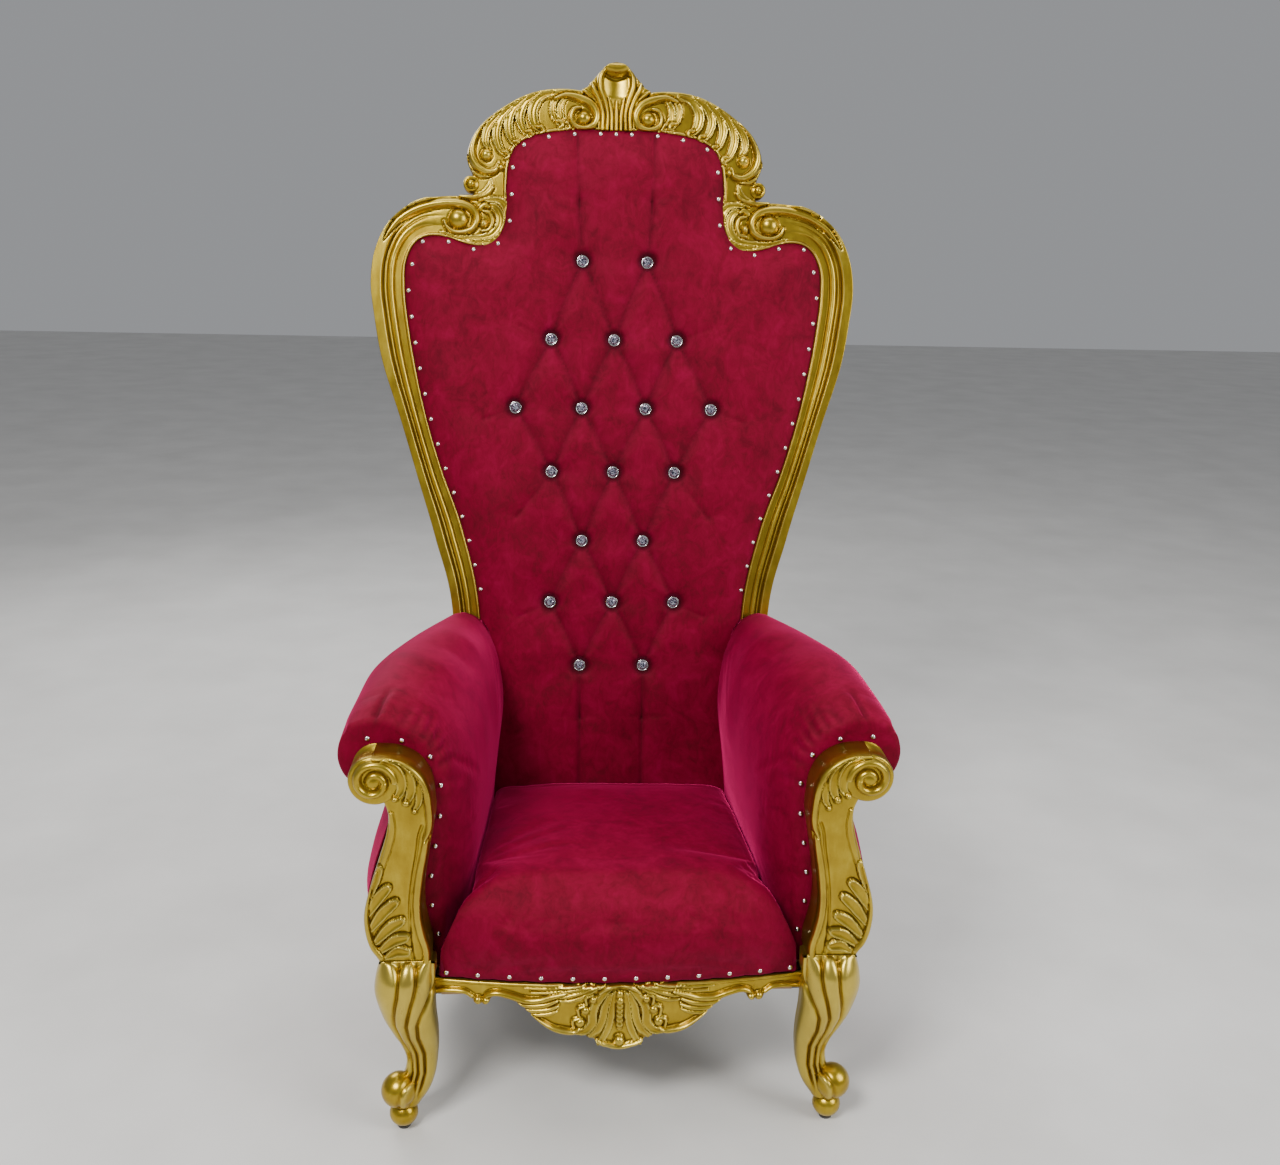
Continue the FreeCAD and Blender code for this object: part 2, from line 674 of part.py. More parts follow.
def build_back():
    heads, shanks = inner_edge_nails()
    pockets = button_pockets()
    foam = back_pad(0)
    cover = without(back_pad(COVER_THICK), foam)
    save("back_foam", leaned(without(foam, pockets, shanks)))
    save("back_cover", leaned(without(cover, pockets, shanks)))
    save("back_nails", leaned(heads))
    save("crystal_buttons", leaned(group([crystal(x, v) for x, v in button_places()])))
    save("button_rims", leaned(group([button_rim(x, v) for x, v in button_places()])))
    rear = opening(0.42, -228, FRAME_DEPTH + BOARD_THICK, FRAME_DEPTH + BOARD_THICK + COVER_THICK)
    leg = rear_leg()
    save("outer_back_cover", without(leaned(rear), leg, mirrored(leg)))


def build_arms():
    heads, shanks = arm_nails()
    foam = arm_body(COVER_THICK)
    cover = arm_body(0).cut(arm_loft(COVER_THICK, 2))
    save_pair("arm_foam", foam.cut(shanks))
    save_pair("arm_cover", cover.cut(shanks))
    save_pair("arm_nails", heads)
    save_pair("arm_rail", arm_rail())
    save_pair("arm_liner_rail", arm_liner_rail())
    save_pair("outer_arm_cover", outer_arm_panel())


def build_glides():
    """A flat glide under each leg."""
    places = [(369, -21), (294, 606)]
    glides = [Part.makeCylinder(11, GLIDE_THICK, V(side * x, y, 0)) for x, y in places for side in (1, -1)]
    save("foot_glides", group(glides))


build_wood()
build_seat()
build_back()
build_arms()
build_glides()
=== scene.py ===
import json
import math

import bpy
import numpy as np
from mathutils import Matrix, Vector
from mathutils.kdtree import KDTree

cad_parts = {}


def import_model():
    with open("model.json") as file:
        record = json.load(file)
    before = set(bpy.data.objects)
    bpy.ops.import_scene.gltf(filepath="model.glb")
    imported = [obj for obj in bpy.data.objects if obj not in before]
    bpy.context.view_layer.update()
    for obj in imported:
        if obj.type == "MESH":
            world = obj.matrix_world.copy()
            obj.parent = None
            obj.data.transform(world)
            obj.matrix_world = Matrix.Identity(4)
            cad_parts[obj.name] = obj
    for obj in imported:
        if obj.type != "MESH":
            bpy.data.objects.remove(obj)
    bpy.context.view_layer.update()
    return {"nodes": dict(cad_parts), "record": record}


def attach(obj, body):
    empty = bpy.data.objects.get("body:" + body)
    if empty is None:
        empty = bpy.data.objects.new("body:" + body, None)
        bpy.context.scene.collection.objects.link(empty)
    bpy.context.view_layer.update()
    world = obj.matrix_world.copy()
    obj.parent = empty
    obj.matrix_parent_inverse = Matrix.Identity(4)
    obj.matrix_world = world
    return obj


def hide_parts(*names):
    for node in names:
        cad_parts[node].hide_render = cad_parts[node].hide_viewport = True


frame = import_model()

# ---------------------------------------------------------------- dimensions, in millimetres

# Working coordinates are in millimetres with Y = 0 on the line of the front legs. row() moves them into
# the row frame, in metres, whose origin lies under the middle of the chair.
ORIGIN_Y = 345.66

# The back leans back about the line (BACK_Y, BACK_Z): x runs across it, v up it and h stands forward of it.
BACK_Y = 500.0
BACK_Z = 450.0
BACK_LEAN = math.radians(9.0)
FRAME_DEPTH = 42.0

# Right half of the back frame: pairs of an outer and an inner edge point (x, v), from the bottom upwards.
STILE = [
    ((312, -175), (262, -175)), ((313, 60), (262, 60)), ((318, 312), (264, 308)), ((350, 453), (296, 470)),
    ((384, 574), (337, 590)), ((416, 687), (366, 692)), ((450, 800), (388, 800)), ((466, 898), (402, 898)),
    ((470, 954), (405, 945)),
]
SHOULDER = [
    ((461, 1010), (403, 985)), ((435, 1062), (388, 1020)), ((388, 1100), (364, 1036)),
    ((338, 1114), (326, 1036)), ((300, 1117), (280, 1022)), ((290, 1118), (240, 1026)),
    ((282, 1119), (217, 1050)), ((275, 1120), (209, 1088)),
]
CREST = [
    ((276, 1154), (209, 1140)), ((286, 1190), (204, 1180)), ((266, 1238), (190, 1210)),
    ((222, 1278), (160, 1228)), ((169, 1307), (130, 1235)), ((120, 1318), (95, 1240)),
    ((67, 1316), (60, 1243)), ((30, 1300), (30, 1243)),
]

BUTTON_ROWS = [
    (996, (63,)), (846, (0, 123)), (713, (63, 193)), (588, (0, 122)), (451, (61,)), (327, (0, 124)),
    (198, (64,)),
]

# Pleats from the outer buttons of the right half towards the edges: from (x, v) to (x, v), and how deep.
PLEATS = [
    (63, 996, 70, 1110, 0.8), (70, 1110, 74, 1236, 0.55), (64, 198, 63, 90, 0.9), (63, 90, 62, -58, 0.7),
    (193, 713, 255, 690, 0.3), (122, 588, 190, 500, 0.35), (124, 327, 186, 300, 0.3),
    (123, 846, 185, 870, 0.2),
]

# The front rail is bowed to a radius.
BOW_MIDDLE_Y = -34.0
BOW_RADIUS = 1700.4

GOLD, VELVET, LINING, NICKEL, CRYSTAL = "gold_paint", "velvet", "lining_cloth", "polished_nickel", "crystal"


# ---------------------------------------------------------------- geometry helpers

def row(points):
    """Working millimetres to the row frame in metres."""
    return (np.asarray(points, float) - (0.0, ORIGIN_Y, 0.0)) * 0.001


def xyz(x, y, z):
    """Points from three coordinates, broadcast together."""
    return np.stack(np.broadcast_arrays(x, y, z), -1)


def on_back(x, v, h):
    """Points of the leaning back plane, h in front of it, in working millimetres."""
    sin, cos = math.sin(BACK_LEAN), math.cos(BACK_LEAN)
    return xyz(x, BACK_Y + v * sin - h * cos, BACK_Z + v * cos + h * sin)


def bow_y(x):
    """Y of the front rail's bowed face."""
    return BOW_MIDDLE_Y + BOW_RADIUS - np.sqrt(BOW_RADIUS ** 2 - np.asarray(x, float) ** 2)


def smooth(a, b, x):
    """A smooth step from 0 at a to 1 at b."""
    t = np.clip((x - a) / (b - a), 0, 1)
    return t * t * (3 - 2 * t)


def rounded(distance, radius, drop=None):
    """How far a surface falls towards an edge rounded over a radius: by drop at the edge itself."""
    q = 1 - np.clip(distance / radius, 0, 1)
    return (radius if drop is None else drop) * (1 - np.sqrt(np.clip(1 - q ** 2, 0, 1)))


def turns(count):
    """Angles spread evenly round a full turn."""
    return np.linspace(0, 2 * np.pi, count, endpoint=False)


def lengths(line):
    """Distance along a line of points, at each of them."""
    return np.r_[0, np.cumsum(np.linalg.norm(np.diff(line, axis=0), axis=1))]


def sampled(table, along, at):
    """The columns of a table that is known at some places, at other places."""
    return np.stack([np.interp(at, along, column) for column in table.T], 1)


def curve(points, count):
    """count points evenly spaced along a smooth curve through the given points (Catmull-Rom)."""
    p = np.asarray(points, float)
    p = np.vstack([2 * p[0] - p[1], p, 2 * p[-1] - p[-2]])
    t = np.linspace(0, 1, 16, endpoint=False)[:, None]
    spans = [0.5 * (2 * b + (c - a) * t + (2 * a - 5 * b + 4 * c - d) * t ** 2
                    + (3 * b - a - 3 * c + d) * t ** 3)
             for a, b, c, d in zip(p, p[1:], p[2:], p[3:])]
    dense = np.vstack(spans + [p[-2:-1]])
    along = lengths(dense)
    return sampled(dense, along, np.linspace(0, along[-1], count))


def blurred(h, passes=6):
    """A smoothed copy of a grid of heights."""
    b = h.copy()
    for _ in range(passes):
        p = np.pad(b, 1, mode="edge")
        b = (p[:-2, 1:-1] + p[2:, 1:-1] + p[1:-1, :-2] + p[1:-1, 2:] + 4 * p[1:-1, 1:-1]) / 8
    return b


def placed(name, data):
    """A new object in the scene."""
    obj = bpy.data.objects.new(name, data)
    bpy.context.scene.collection.objects.link(obj)
    return obj


def mesh_object(name, part, slot, replaced, smooth_faces=True):
    """A piece that stands in for CAD nodes. A part is (vertices in working millimetres, faces, painted shade
    and glaze):
    the faces are (n, k) arrays or lists of corners, and each vertex carries an amount of painted shade (on
    the gold also glaze)."""
    verts, faces, painted_shade_and_glaze = part
    loops, totals = [], []
    for group in faces:
        group = np.atleast_2d(group).astype(np.int32)
        loops.append(group.ravel())
        totals.append(np.full(len(group), group.shape[1], np.int32))
    loops, totals = np.concatenate(loops), np.concatenate(totals)
    mesh = bpy.data.meshes.new(name)
    mesh.vertices.add(len(verts))
    mesh.vertices.foreach_set("co", row(verts).astype(np.float32).ravel())
    mesh.loops.add(len(loops))
    mesh.loops.foreach_set("vertex_index", loops)
    mesh.polygons.add(len(totals))
    mesh.polygons.foreach_set("loop_start", np.r_[0, np.cumsum(totals)[:-1]].astype(np.int32))
    mesh.polygons.foreach_set("loop_total", totals)
    mesh.polygons.foreach_set("use_smooth", np.full(len(totals), smooth_faces))
    mesh.update(calc_edges=True)
    mesh.validate()
    # stored per vertex as painted shade: the velvet darkens by it, the gold glazes and shades hollows and
    # lightens high points
    layer = mesh.attributes.new("painted_shade_and_glaze", "FLOAT", "POINT")
    layer.data.foreach_set("value", np.asarray(painted_shade_and_glaze, np.float32))
    mesh.materials.append(MATERIALS[slot])
    obj = placed(name, mesh)
    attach(obj, "root")
    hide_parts(*replaced)
    return obj


def both_sides(name, part, slot, replaced):
    """The right piece and its mirror image on the left, by side."""
    return {side: mesh_object(f"{name}_{side}", made, slot, [f"{cad_name}_{side}" for cad_name in replaced])
            for side, made in (("right", part), ("left", mirror(part)))}


def ring_faces(n, m):
    """Quads between n closed rings of m vertices."""
    i, j = np.arange(n - 1)[:, None] * m, np.arange(m)[None, :]
    j2 = (j + 1) % m
    return np.stack([i + j, i + m + j, i + m + j2, i + j2], -1).reshape(-1, 4)


def turned_over(faces):
    return [f[:, ::-1] if isinstance(f, np.ndarray) else f[::-1] for f in faces]


def outward(verts, faces):
    """The faces of a closed mesh, turned over if they enclose a negative volume."""
    p = verts - verts[0]
    total = 0.0
    for f in faces:
        corners = f if isinstance(f, np.ndarray) else np.array([[f[0], b, c] for b, c in zip(f[1:], f[2:])])
        for k in range(1, corners.shape[1] - 1):
            cross = np.cross(p[corners[:, k]], p[corners[:, k + 1]])
            total += np.einsum("ij,ij", p[corners[:, 0]], cross)
    return faces if total >= 0 else turned_over(faces)


def tube(rings, painted_shade_and_glaze=0.0):
    """A closed part through rings of equal length, capped at both ends."""
    n, m = rings.shape[:2]
    verts = rings.reshape(-1, 3)
    caps = [list(range(m)), list(range(n * m - 1, (n - 1) * m - 1, -1))]
    return verts, outward(verts, [ring_faces(n, m)] + caps), np.broadcast_to(painted_shade_and_glaze, (n, m)).ravel()


def walled(front, walls, painted_shade_and_glaze, wall_shade_and_glaze):
    """A closed part from a modelled front and the lines of points round behind it."""
    # the walls get one amount of painted shade, with glaze on the gold
    plain = np.full((len(front), len(walls)), wall_shade_and_glaze)
    return tube(np.concatenate([front, np.stack(walls, 1)], 1), np.concatenate([painted_shade_and_glaze, plain], 1))


def merged(parts):
    """Several parts as one."""
    faces, start = [], 0
    for verts, part_faces, _ in parts:
        faces += [f + start if isinstance(f, np.ndarray) else [k + start for k in f] for f in part_faces]
        start += len(verts)
    return np.vstack([p[0] for p in parts]), faces, np.concatenate([p[2] for p in parts])


def mirror(part):
    """A part mirrored in X."""
    verts, faces, painted_shade_and_glaze = part
    return verts * (-1, 1, 1), turned_over(faces), painted_shade_and_glaze


# ---------------------------------------------------------------- materials

def nodes_of(name):
    """A new material, its node tree and its Principled shader."""
    mat = bpy.data.materials.new(name)
    mat.use_nodes = True
    tree = mat.node_tree
    tree.nodes.clear()
    out = tree.nodes.new("ShaderNodeOutputMaterial")
    shader = tree.nodes.new("ShaderNodeBsdfPrincipled")
    tree.links.new(shader.outputs[0], out.inputs[0])
    return mat, tree, shader


def wire(tree, n, inputs):
    """Links each input of a node to a socket, or sets it to a constant."""
    for key, value in inputs.items():
        if isinstance(value, bpy.types.NodeSocket):
            tree.links.new(value, n.inputs[key])
        else:
            n.inputs[key].default_value = value


def node(tree, kind, inputs, **settings):
    n = tree.nodes.new(kind)
    for key, value in settings.items():
        setattr(n, key, value)
    wire(tree, n, inputs)
    return n


def ramp(tree, source, stops):
    n = node(tree, "ShaderNodeValToRGB", {0: source})
    while len(n.color_ramp.elements) < len(stops):
        n.color_ramp.elements.new(0.5)
    for element, (at, colour) in zip(n.color_ramp.elements, stops):
        element.position = at
        element.color = (*colour, 1)
    return n.outputs[0]


def mix(tree, factor, a, b):
    """Colour a, moved towards colour b by a factor."""
    a, b = (c if isinstance(c, bpy.types.NodeSocket) else (*c, 1) for c in (a, b))
    return node(tree, "ShaderNodeMix", {0: factor, 6: a, 7: b}, data_type="RGBA").outputs[2]


def maths(tree, operation, a, b, c=0.0):
    return node(tree, "ShaderNodeMath", {0: a, 1: b, 2: c}, operation=operation).outputs[0]


def weighted(tree, a, a_share, b, b_share):
    """The sum of a and b, each times its share."""
    return maths(tree, "MULTIPLY_ADD", a, a_share, maths(tree, "MULTIPLY", b, b_share))


def hollow(tree, share, sign=1.0):
    """How much painted shade (on the gold also glaze) a point carries, or with sign -1 how much pale wear
    and painted highlight, times a share.
    """
    painted_shade_and_glaze = node(tree, "ShaderNodeAttribute", {}, attribute_name="painted_shade_and_glaze").outputs["Fac"]
    part = maths(tree, "MAXIMUM", maths(tree, "MULTIPLY", painted_shade_and_glaze, sign), 0.0)
    return maths(tree, "MULTIPLY", part, share)


def noise(tree, scale, detail=3.0, rough=0.55, distort=0.0, stretch=(1, 1, 1)):
    coords = node(tree, "ShaderNodeTexCoord", {}).outputs["Object"]
    mapped = node(tree, "ShaderNodeMapping", {"Vector": coords, "Scale": stretch}).outputs[0]
    return node(tree, "ShaderNodeTexNoise", {"Vector": mapped, "Scale": scale, "Detail": detail,
                                             "Roughness": rough, "Distortion": distort}).outputs[0]


def bump(tree, height, strength, distance):
    return node(tree, "ShaderNodeBump", {"Height": height, "Strength": strength,
                                         "Distance": distance}).outputs[0]


def gold_paint():
    """Warm metallic paint, brushed on: brown glaze with painted shade in the hollows, pale and smooth worn
    paint with painted highlight on high edges.
    """
    mat, tree, shader = nodes_of("gold_paint")
    mottle = noise(tree, 26, 5, 0.6)
    streak = noise(tree, 60, 4, 0.6, stretch=(1, 1, 0.25))
    flake = noise(tree, 900, 2, 0.5)
    body = ramp(tree, weighted(tree, mottle, 0.55, streak, 0.45),
                [(0.30, (0.31, 0.195, 0.010)), (0.52, (0.42, 0.285, 0.020)), (0.72, (0.54, 0.40, 0.038))])
    # the hollows get brown glaze with painted shade: low darkens them
    low = hollow(tree, 0.8)
    glazed_and_shaded = mix(tree, low, body, (0.15, 0.072, 0.003))
    rough = maths(tree, "MULTIPLY_ADD", streak, 0.14, 0.23)
    wire(tree, shader, {
        # high points turn pale: worn paint with painted highlight
        "Base Color": mix(tree, hollow(tree, 0.6, -1.0), glazed_and_shaded, (0.84, 0.70, 0.16)),
        "Metallic": 0.94,
        "Roughness": maths(tree, "MULTIPLY_ADD", low, 0.12, rough),
        "Specular IOR Level": 0.5,
        "Coat Weight": 0.15,
        "Coat Roughness": 0.25,
        "Normal": bump(tree, weighted(tree, streak, 0.8, flake, 0.2), 0.35, 0.0009),
    })
    return mat


def velvet():
    """Short-pile crimson velvet: nap brushed in patches, painted shade darkening the folds and edges, with a
    pink sheen.
    """
    mat, tree, shader = nodes_of("velvet")
    patches = noise(tree, 15, 5, 0.66, 1.0)
    strokes = noise(tree, 55, 5, 0.68, 1.2, stretch=(1, 1, 0.6))
    pile = noise(tree, 1500, 2, 0.6)
    nap = ramp(tree, weighted(tree, patches, 0.6, strokes, 0.4),
               [(0.36, (0.095, 0.0, 0.008)), (0.48, (0.150, 0.0, 0.014)), (0.57, (0.185, 0.0004, 0.020)),
                (0.70, (0.235, 0.001, 0.032))])
    fine = mix(tree, maths(tree, "MULTIPLY", pile, 0.3), nap, (0.09, 0.0, 0.006))
    wire(tree, shader, {
        # painted shade: folds, buttons, edges and corners darken towards near black by the stored amount
        "Base Color": mix(tree, hollow(tree, 0.9), fine, (0.028, 0.0, 0.002)),
        "Roughness": maths(tree, "MULTIPLY_ADD", patches, 0.2, 0.62),
        "Specular IOR Level": 0.1,
        "Sheen Weight": 0.8,
        "Sheen Roughness": 0.36,
        "Sheen Tint": (1.0, 0.03, 0.24, 1),
        "Normal": bump(tree, weighted(tree, pile, 0.5, strokes, 0.5), 0.4, 0.0006),
    })
    return mat


def woven(name, dark, light):
    """Plain-woven cloth."""
    mat, tree, shader = nodes_of(name)
    coords = node(tree, "ShaderNodeTexCoord", {}).outputs["Object"]
    waves = [node(tree, "ShaderNodeTexWave", {"Vector": coords, "Scale": 150.0, "Distortion": 0.6},
                  bands_direction=axis).outputs[1] for axis in ("X", "Y")]
    weave = maths(tree, "MULTIPLY", waves[0], waves[1])
    tone = weighted(tree, weave, 0.6, noise(tree, 30, 4), 0.4)
    wire(tree, shader, {"Base Color": ramp(tree, tone, [(0.1, dark), (0.8, light)]), "Roughness": 0.9,
                        "Specular IOR Level": 0.2, "Sheen Weight": 0.15,
                        "Normal": bump(tree, weave, 0.5, 0.0004)})
    return mat


def wood(name, colours, stretch):
    """Planed timber with rings, pores and a little dirt."""
    mat, tree, shader = nodes_of(name)
    rings = noise(tree, 16, 5, 0.55, 1.1, stretch)
    pores = noise(tree, 380, 3, 0.7, 0.0, stretch)
    tone = weighted(tree, rings, 0.75, pores, 0.25)
    wire(tree, shader, {"Base Color": ramp(tree, tone, colours),
                        "Roughness": maths(tree, "MULTIPLY_ADD", pores, 0.25, 0.55),
                        "Normal": bump(tree, tone, 0.3, 0.0008)})
    return mat


def foam():
    mat, tree, shader = nodes_of("foam")
    cells = node(tree, "ShaderNodeTexVoronoi", {"Scale": 700.0}).outputs[0]
    colour = ramp(tree, cells, [(0.1, (0.55, 0.46, 0.24)), (0.6, (0.86, 0.80, 0.58))])
    wire(tree, shader, {"Base Color": colour, "Roughness": 0.95, "Normal": bump(tree, cells, 0.6, 0.0008)})
    return mat


def metal(name, colour, rough, scratch=0.08):
    mat, tree, shader = nodes_of(name)
    wear = noise(tree, 260, 4, 0.6)
    dull = tuple(0.55 * c for c in colour)
    wire(tree, shader, {"Base Color": mix(tree, maths(tree, "MULTIPLY", wear, 0.5), colour, dull),
                        "Roughness": maths(tree, "MULTIPLY_ADD", wear, scratch * 2, rough),
                        "Metallic": 1.0,
                        "Normal": bump(tree, wear, 0.15, 0.0003)})
    return mat


def crystal_glass():
    """Foil-backed clear crystal: painted glints and dark painted reflections in the base colour make its
    facets flash pale blue and grey.
    """
    mat, tree, shader = nodes_of("crystal")
    facet = noise(tree, 420, 1, 0.4)
    # painted glints and dark painted reflections, spread by noise over the base colour
    painted_glints = ramp(tree, facet, [(0.40, (0.02, 0.02, 0.05)), (0.50, (0.26, 0.25, 0.38)),
                               (0.60, (0.95, 0.95, 1.0)), (0.66, (0.12, 0.09, 0.22))])
    wire(tree, shader, {"Base Color": painted_glints, "Metallic": 0.75, "Roughness": 0.04, "IOR": 1.9,
                        "Coat Weight": 1.0, "Coat Roughness": 0.02})
    return mat


def plastic():
    mat, tree, shader = nodes_of("glide_plastic")
    grain = noise(tree, 500, 3)
    colour = ramp(tree, grain, [(0.3, (0.030, 0.028, 0.027)), (0.7, (0.075, 0.07, 0.065))])
    wire(tree, shader, {"Base Color": colour, "Roughness": 0.55, "Normal": bump(tree, grain, 0.2, 0.0003)})
    return mat


PLANED = [(0.25, (0.34, 0.20, 0.10)), (0.5, (0.55, 0.37, 0.20)), (0.75, (0.68, 0.50, 0.30))]
MATERIALS = {
    GOLD: gold_paint(),
    VELVET: velvet(),
    LINING: woven("lining_cloth", (0.010, 0.010, 0.011), (0.05, 0.05, 0.053)),
    NICKEL: metal("polished_nickel", (0.80, 0.79, 0.76), 0.10, 0.05),
    CRYSTAL: crystal_glass(),
    "steel": metal("steel", (0.55, 0.56, 0.58), 0.30),
    "raw_wood": wood("raw_wood", PLANED, (0.12, 1, 1)),
    "plywood": wood("plywood", [(0.3, (0.45, 0.30, 0.17)), (0.7, (0.70, 0.54, 0.34))], (1, 1, 0.12)),
    "foam": foam(),
    "glide_plastic": plastic(),
}
for part in frame["record"]["subparts"]:
    cad = frame["nodes"][part["node"]]
    cad.data.materials.clear()
    cad.data.materials.append(MATERIALS[part["material_slot"]])


# ---------------------------------------------------------------- carving in relief

FAR = 1e9
GROOVE = 1.3        # half width of the groove beside a stroke
WALL_SHADE_AND_GLAZE = 0.1   # glaze and painted shade of the plain sides and backs of carved pieces


def to_segment(q, a, b):
    """Of each point q: its share of the way along the segment from a to b, and its distance from it."""
    ab = b - a
    t = np.clip(((q - a) @ ab) / max(ab @ ab, 1e-9), 0, 1)
    return t, np.linalg.norm(q - a - t[:, None] * ab, axis=1)


def dome_of(f):
    """Height of a unit half circle at a share f of its radius."""
    return np.sqrt(np.clip(1 - f * f, 0, 1))


class Relief:
    """Heights over a grid of points (x, y) of a carved face, built up stroke by stroke."""

    def __init__(self, x, y, ground):
        self.x, self.y = x, y
        self.h = np.broadcast_to(np.asarray(ground, float), x.shape).copy()

    def near(self, p, margin):
        """Which grid points lie round some points, and their places."""
        low, high = p.min(0) - margin, p.max(0) + margin
        inside = (self.x > low[0]) & (self.x < high[0]) & (self.y > low[1]) & (self.y < high[1])
        return inside, np.stack([self.x[inside], self.y[inside]], 1)

    def stroke(self, points, height, kind="bead", cut=1.2, base=None):
        """A raised stroke through points (x, y, half width), with a fine groove beside it.

        A bead is round, a leaf is dished between two rims. It stands on base, or on what is there."""
        p = curve(points, 10 * len(points))
        inside, q = self.near(p[:, :2], p[:, 2].max() + 4)
        best = np.full(len(q), FAR)
        width = np.ones(len(q))
        for a, b in zip(p, p[1:]):
            t, d = to_segment(q, a[:2], b[:2])
            w = a[2] + t * (b[2] - a[2])
            closer = d - w < best
            best = np.where(closer, d - w, best)
            width = np.where(closer, w, width)
        f = np.clip(1 + best / np.maximum(width, 0.3), 0, 1)
        shape = dome_of(f)
        if kind == "leaf":
            shape = np.clip(np.minimum(0.62 + 0.42 * f ** 2, 2.6 * shape), 0, 1.05)
        h = self.h[inside]
        h = np.where(best < 0, (h if base is None else base) + height * shape, h)
        self.h[inside] = h - cut * np.exp(-(np.maximum(best, 0) / GROOVE) ** 2) * (best >= -0.4)

    def dome(self, x, y, radius, height, base, cut=1.5):
        """A round boss with a fine groove round it."""
        d = np.hypot(self.x - x, self.y - y)
        self.h = np.where(d < radius, base + height * dome_of(np.clip(d / radius, 0, 1)), self.h)
        self.h -= cut * np.exp(-((d - radius) / GROOVE) ** 2) * (d >= radius)

    def groove(self, points, depth, width):
        p = curve(points, 12 * len(points))
        inside, q = self.near(p, 4 * width)
        d = np.full(len(q), FAR)
        for a, b in zip(p, p[1:]):
            d = np.minimum(d, to_segment(q, a, b)[1])
        self.h[inside] -= depth * np.exp(-(d / width) ** 2)


def cavity_of(h, reach=10):
    """How far each point of a grid of heights lies below (positive) or above its surroundings. On the gold
    it sets the glaze and painted shade of hollows and the pale wear and painted highlight of high points.
    """
    return np.clip((blurred(h, reach) - h) / 3.2, -1, 1)


def bead(t, centre, half, height):
    """A round moulding across a band."""
    return height * dome_of((t - centre) / half)


# ---------------------------------------------------------------- cloth

CLOTH_VOXEL = 0.006
CLOTH_PRESSURE = 4
CLOTH_QUALITY = 4
CLOTH_FRAMES = 20
CLOTH_NEIGHBOURS = 5


def coordinates(mesh):
    flat = np.empty(len(mesh.vertices) * 3)
    mesh.vertices.foreach_get("co", flat)
    return flat.reshape(-1, 3)


def evaluated(obj):
    """An object as its modifiers make it."""
    return obj.evaluated_get(bpy.context.evaluated_depsgraph_get())


def simulated(piece, held):
    """An evenly remeshed copy of a pad, and the moves of its vertices as a cloth cover under pressure."""
    scene = bpy.context.scene
    trial = placed("trial", piece.data.copy())
    even = trial.modifiers.new("even", "REMESH")
    even.mode = "VOXEL"
    even.voxel_size = CLOTH_VOXEL
    mesh = bpy.data.meshes.new_from_object(evaluated(trial))
    trial.modifiers.clear()
    trial.data = mesh
    rest = coordinates(mesh)
    group = trial.vertex_groups.new(name="held")
    group.add([int(k) for k in np.nonzero(held(rest))[0]], 1.0, "REPLACE")
    cloth = trial.modifiers.new("cloth", "CLOTH")
    cloth.settings.quality = CLOTH_QUALITY
    cloth.settings.use_pressure = True
    cloth.settings.uniform_pressure_force = CLOTH_PRESSURE
    cloth.settings.vertex_group_mass = "held"
    cloth.settings.effector_weights.gravity = 0
    cloth.point_cache.frame_start, cloth.point_cache.frame_end = 1, CLOTH_FRAMES
    for step in range(1, CLOTH_FRAMES + 1):
        scene.frame_set(step)
    move = np.nan_to_num(coordinates(evaluated(trial).to_mesh()) - rest)
    bpy.data.objects.remove(trial)
    scene.frame_set(1)
    return rest, move


def swell(piece, held, cap):
    """How far each point of a pad moves when its cover is cloth, held where it is tacked; at most cap."""
    rest, move = simulated(piece, held)
    length = np.linalg.norm(move, axis=1, keepdims=True)
    move *= cap * np.tanh(length / cap) / np.maximum(length, 1e-9)
    tree = KDTree(len(rest))
    for k, point in enumerate(rest):
        tree.insert(point, k)
    tree.balance()
    out = np.zeros((len(piece.data.vertices), 3))
    for k, vertex in enumerate(piece.data.vertices):
        near = tree.find_n(vertex.co, CLOTH_NEIGHBOURS)
        weight = np.array([1 / (distance + 0.002) for _, _, distance in near])
        out[k] = (move[[index for _, index, _ in near]] * weight[:, None]).sum(0) / weight.sum()
    return out


def shift(piece, move):
    piece.data.vertices.foreach_set("co", (coordinates(piece.data) + move).ravel())
    piece.data.update()


# ---------------------------------------------------------------- back frame

def band_points(pairs, step):
    """Rows (outer x, outer v, inner x, inner v) shared out evenly along a band."""
    dense = curve(np.array(pairs, float).reshape(-1, 4), 60 * len(pairs))
    way = np.maximum(np.diff(lengths(dense[:, :2])), np.diff(lengths(dense[:, 2:])))
    along = np.r_[0, np.cumsum(way)]
    return sampled(dense, along, np.linspace(0, along[-1], int(along[-1] / step) + 1))


def across(edges, t):
    """Grid of places over a band, from its inner edge (t = 0) to its outer edge (t = 1)."""
    outer, inner = edges[:, None, :2], edges[:, None, 2:]
    flat = inner + (outer - inner) * t[None, :, None]
    return flat[..., 0], flat[..., 1]


def from_edge(edges, t):
    """Distance of each point across a band from the nearer edge."""
    return np.minimum(t, 1 - t) * np.linalg.norm(edges[:, :2] - edges[:, 2:], axis=1)[:, None]


def moulding(t):
    """Heights across the stile from its inner edge (t = 0) to its outer edge (t = 1)."""
    h = np.full_like(t, -6.0)
    h = np.maximum(h, -5 + bead(t, 0.055, 0.065, 9.0))
    h = np.maximum(h, -9.5 + 5.0 * ((t - 0.23) / 0.12) ** 2 - 60 * ((t < 0.10) | (t > 0.36)))
    h = np.where((t > 0.12) & (t < 0.34), -9.0 + 3.5 * ((t - 0.23) / 0.11) ** 2, h)
    h = np.maximum(h, -7 + bead(t, 0.43, 0.115, 11.0))
    h = np.maximum(h, -6 + bead(t, 0.60, 0.055, 6.0))
    h = np.maximum(h, -13 + bead(t, 0.83, 0.165, 20.5))
    return h


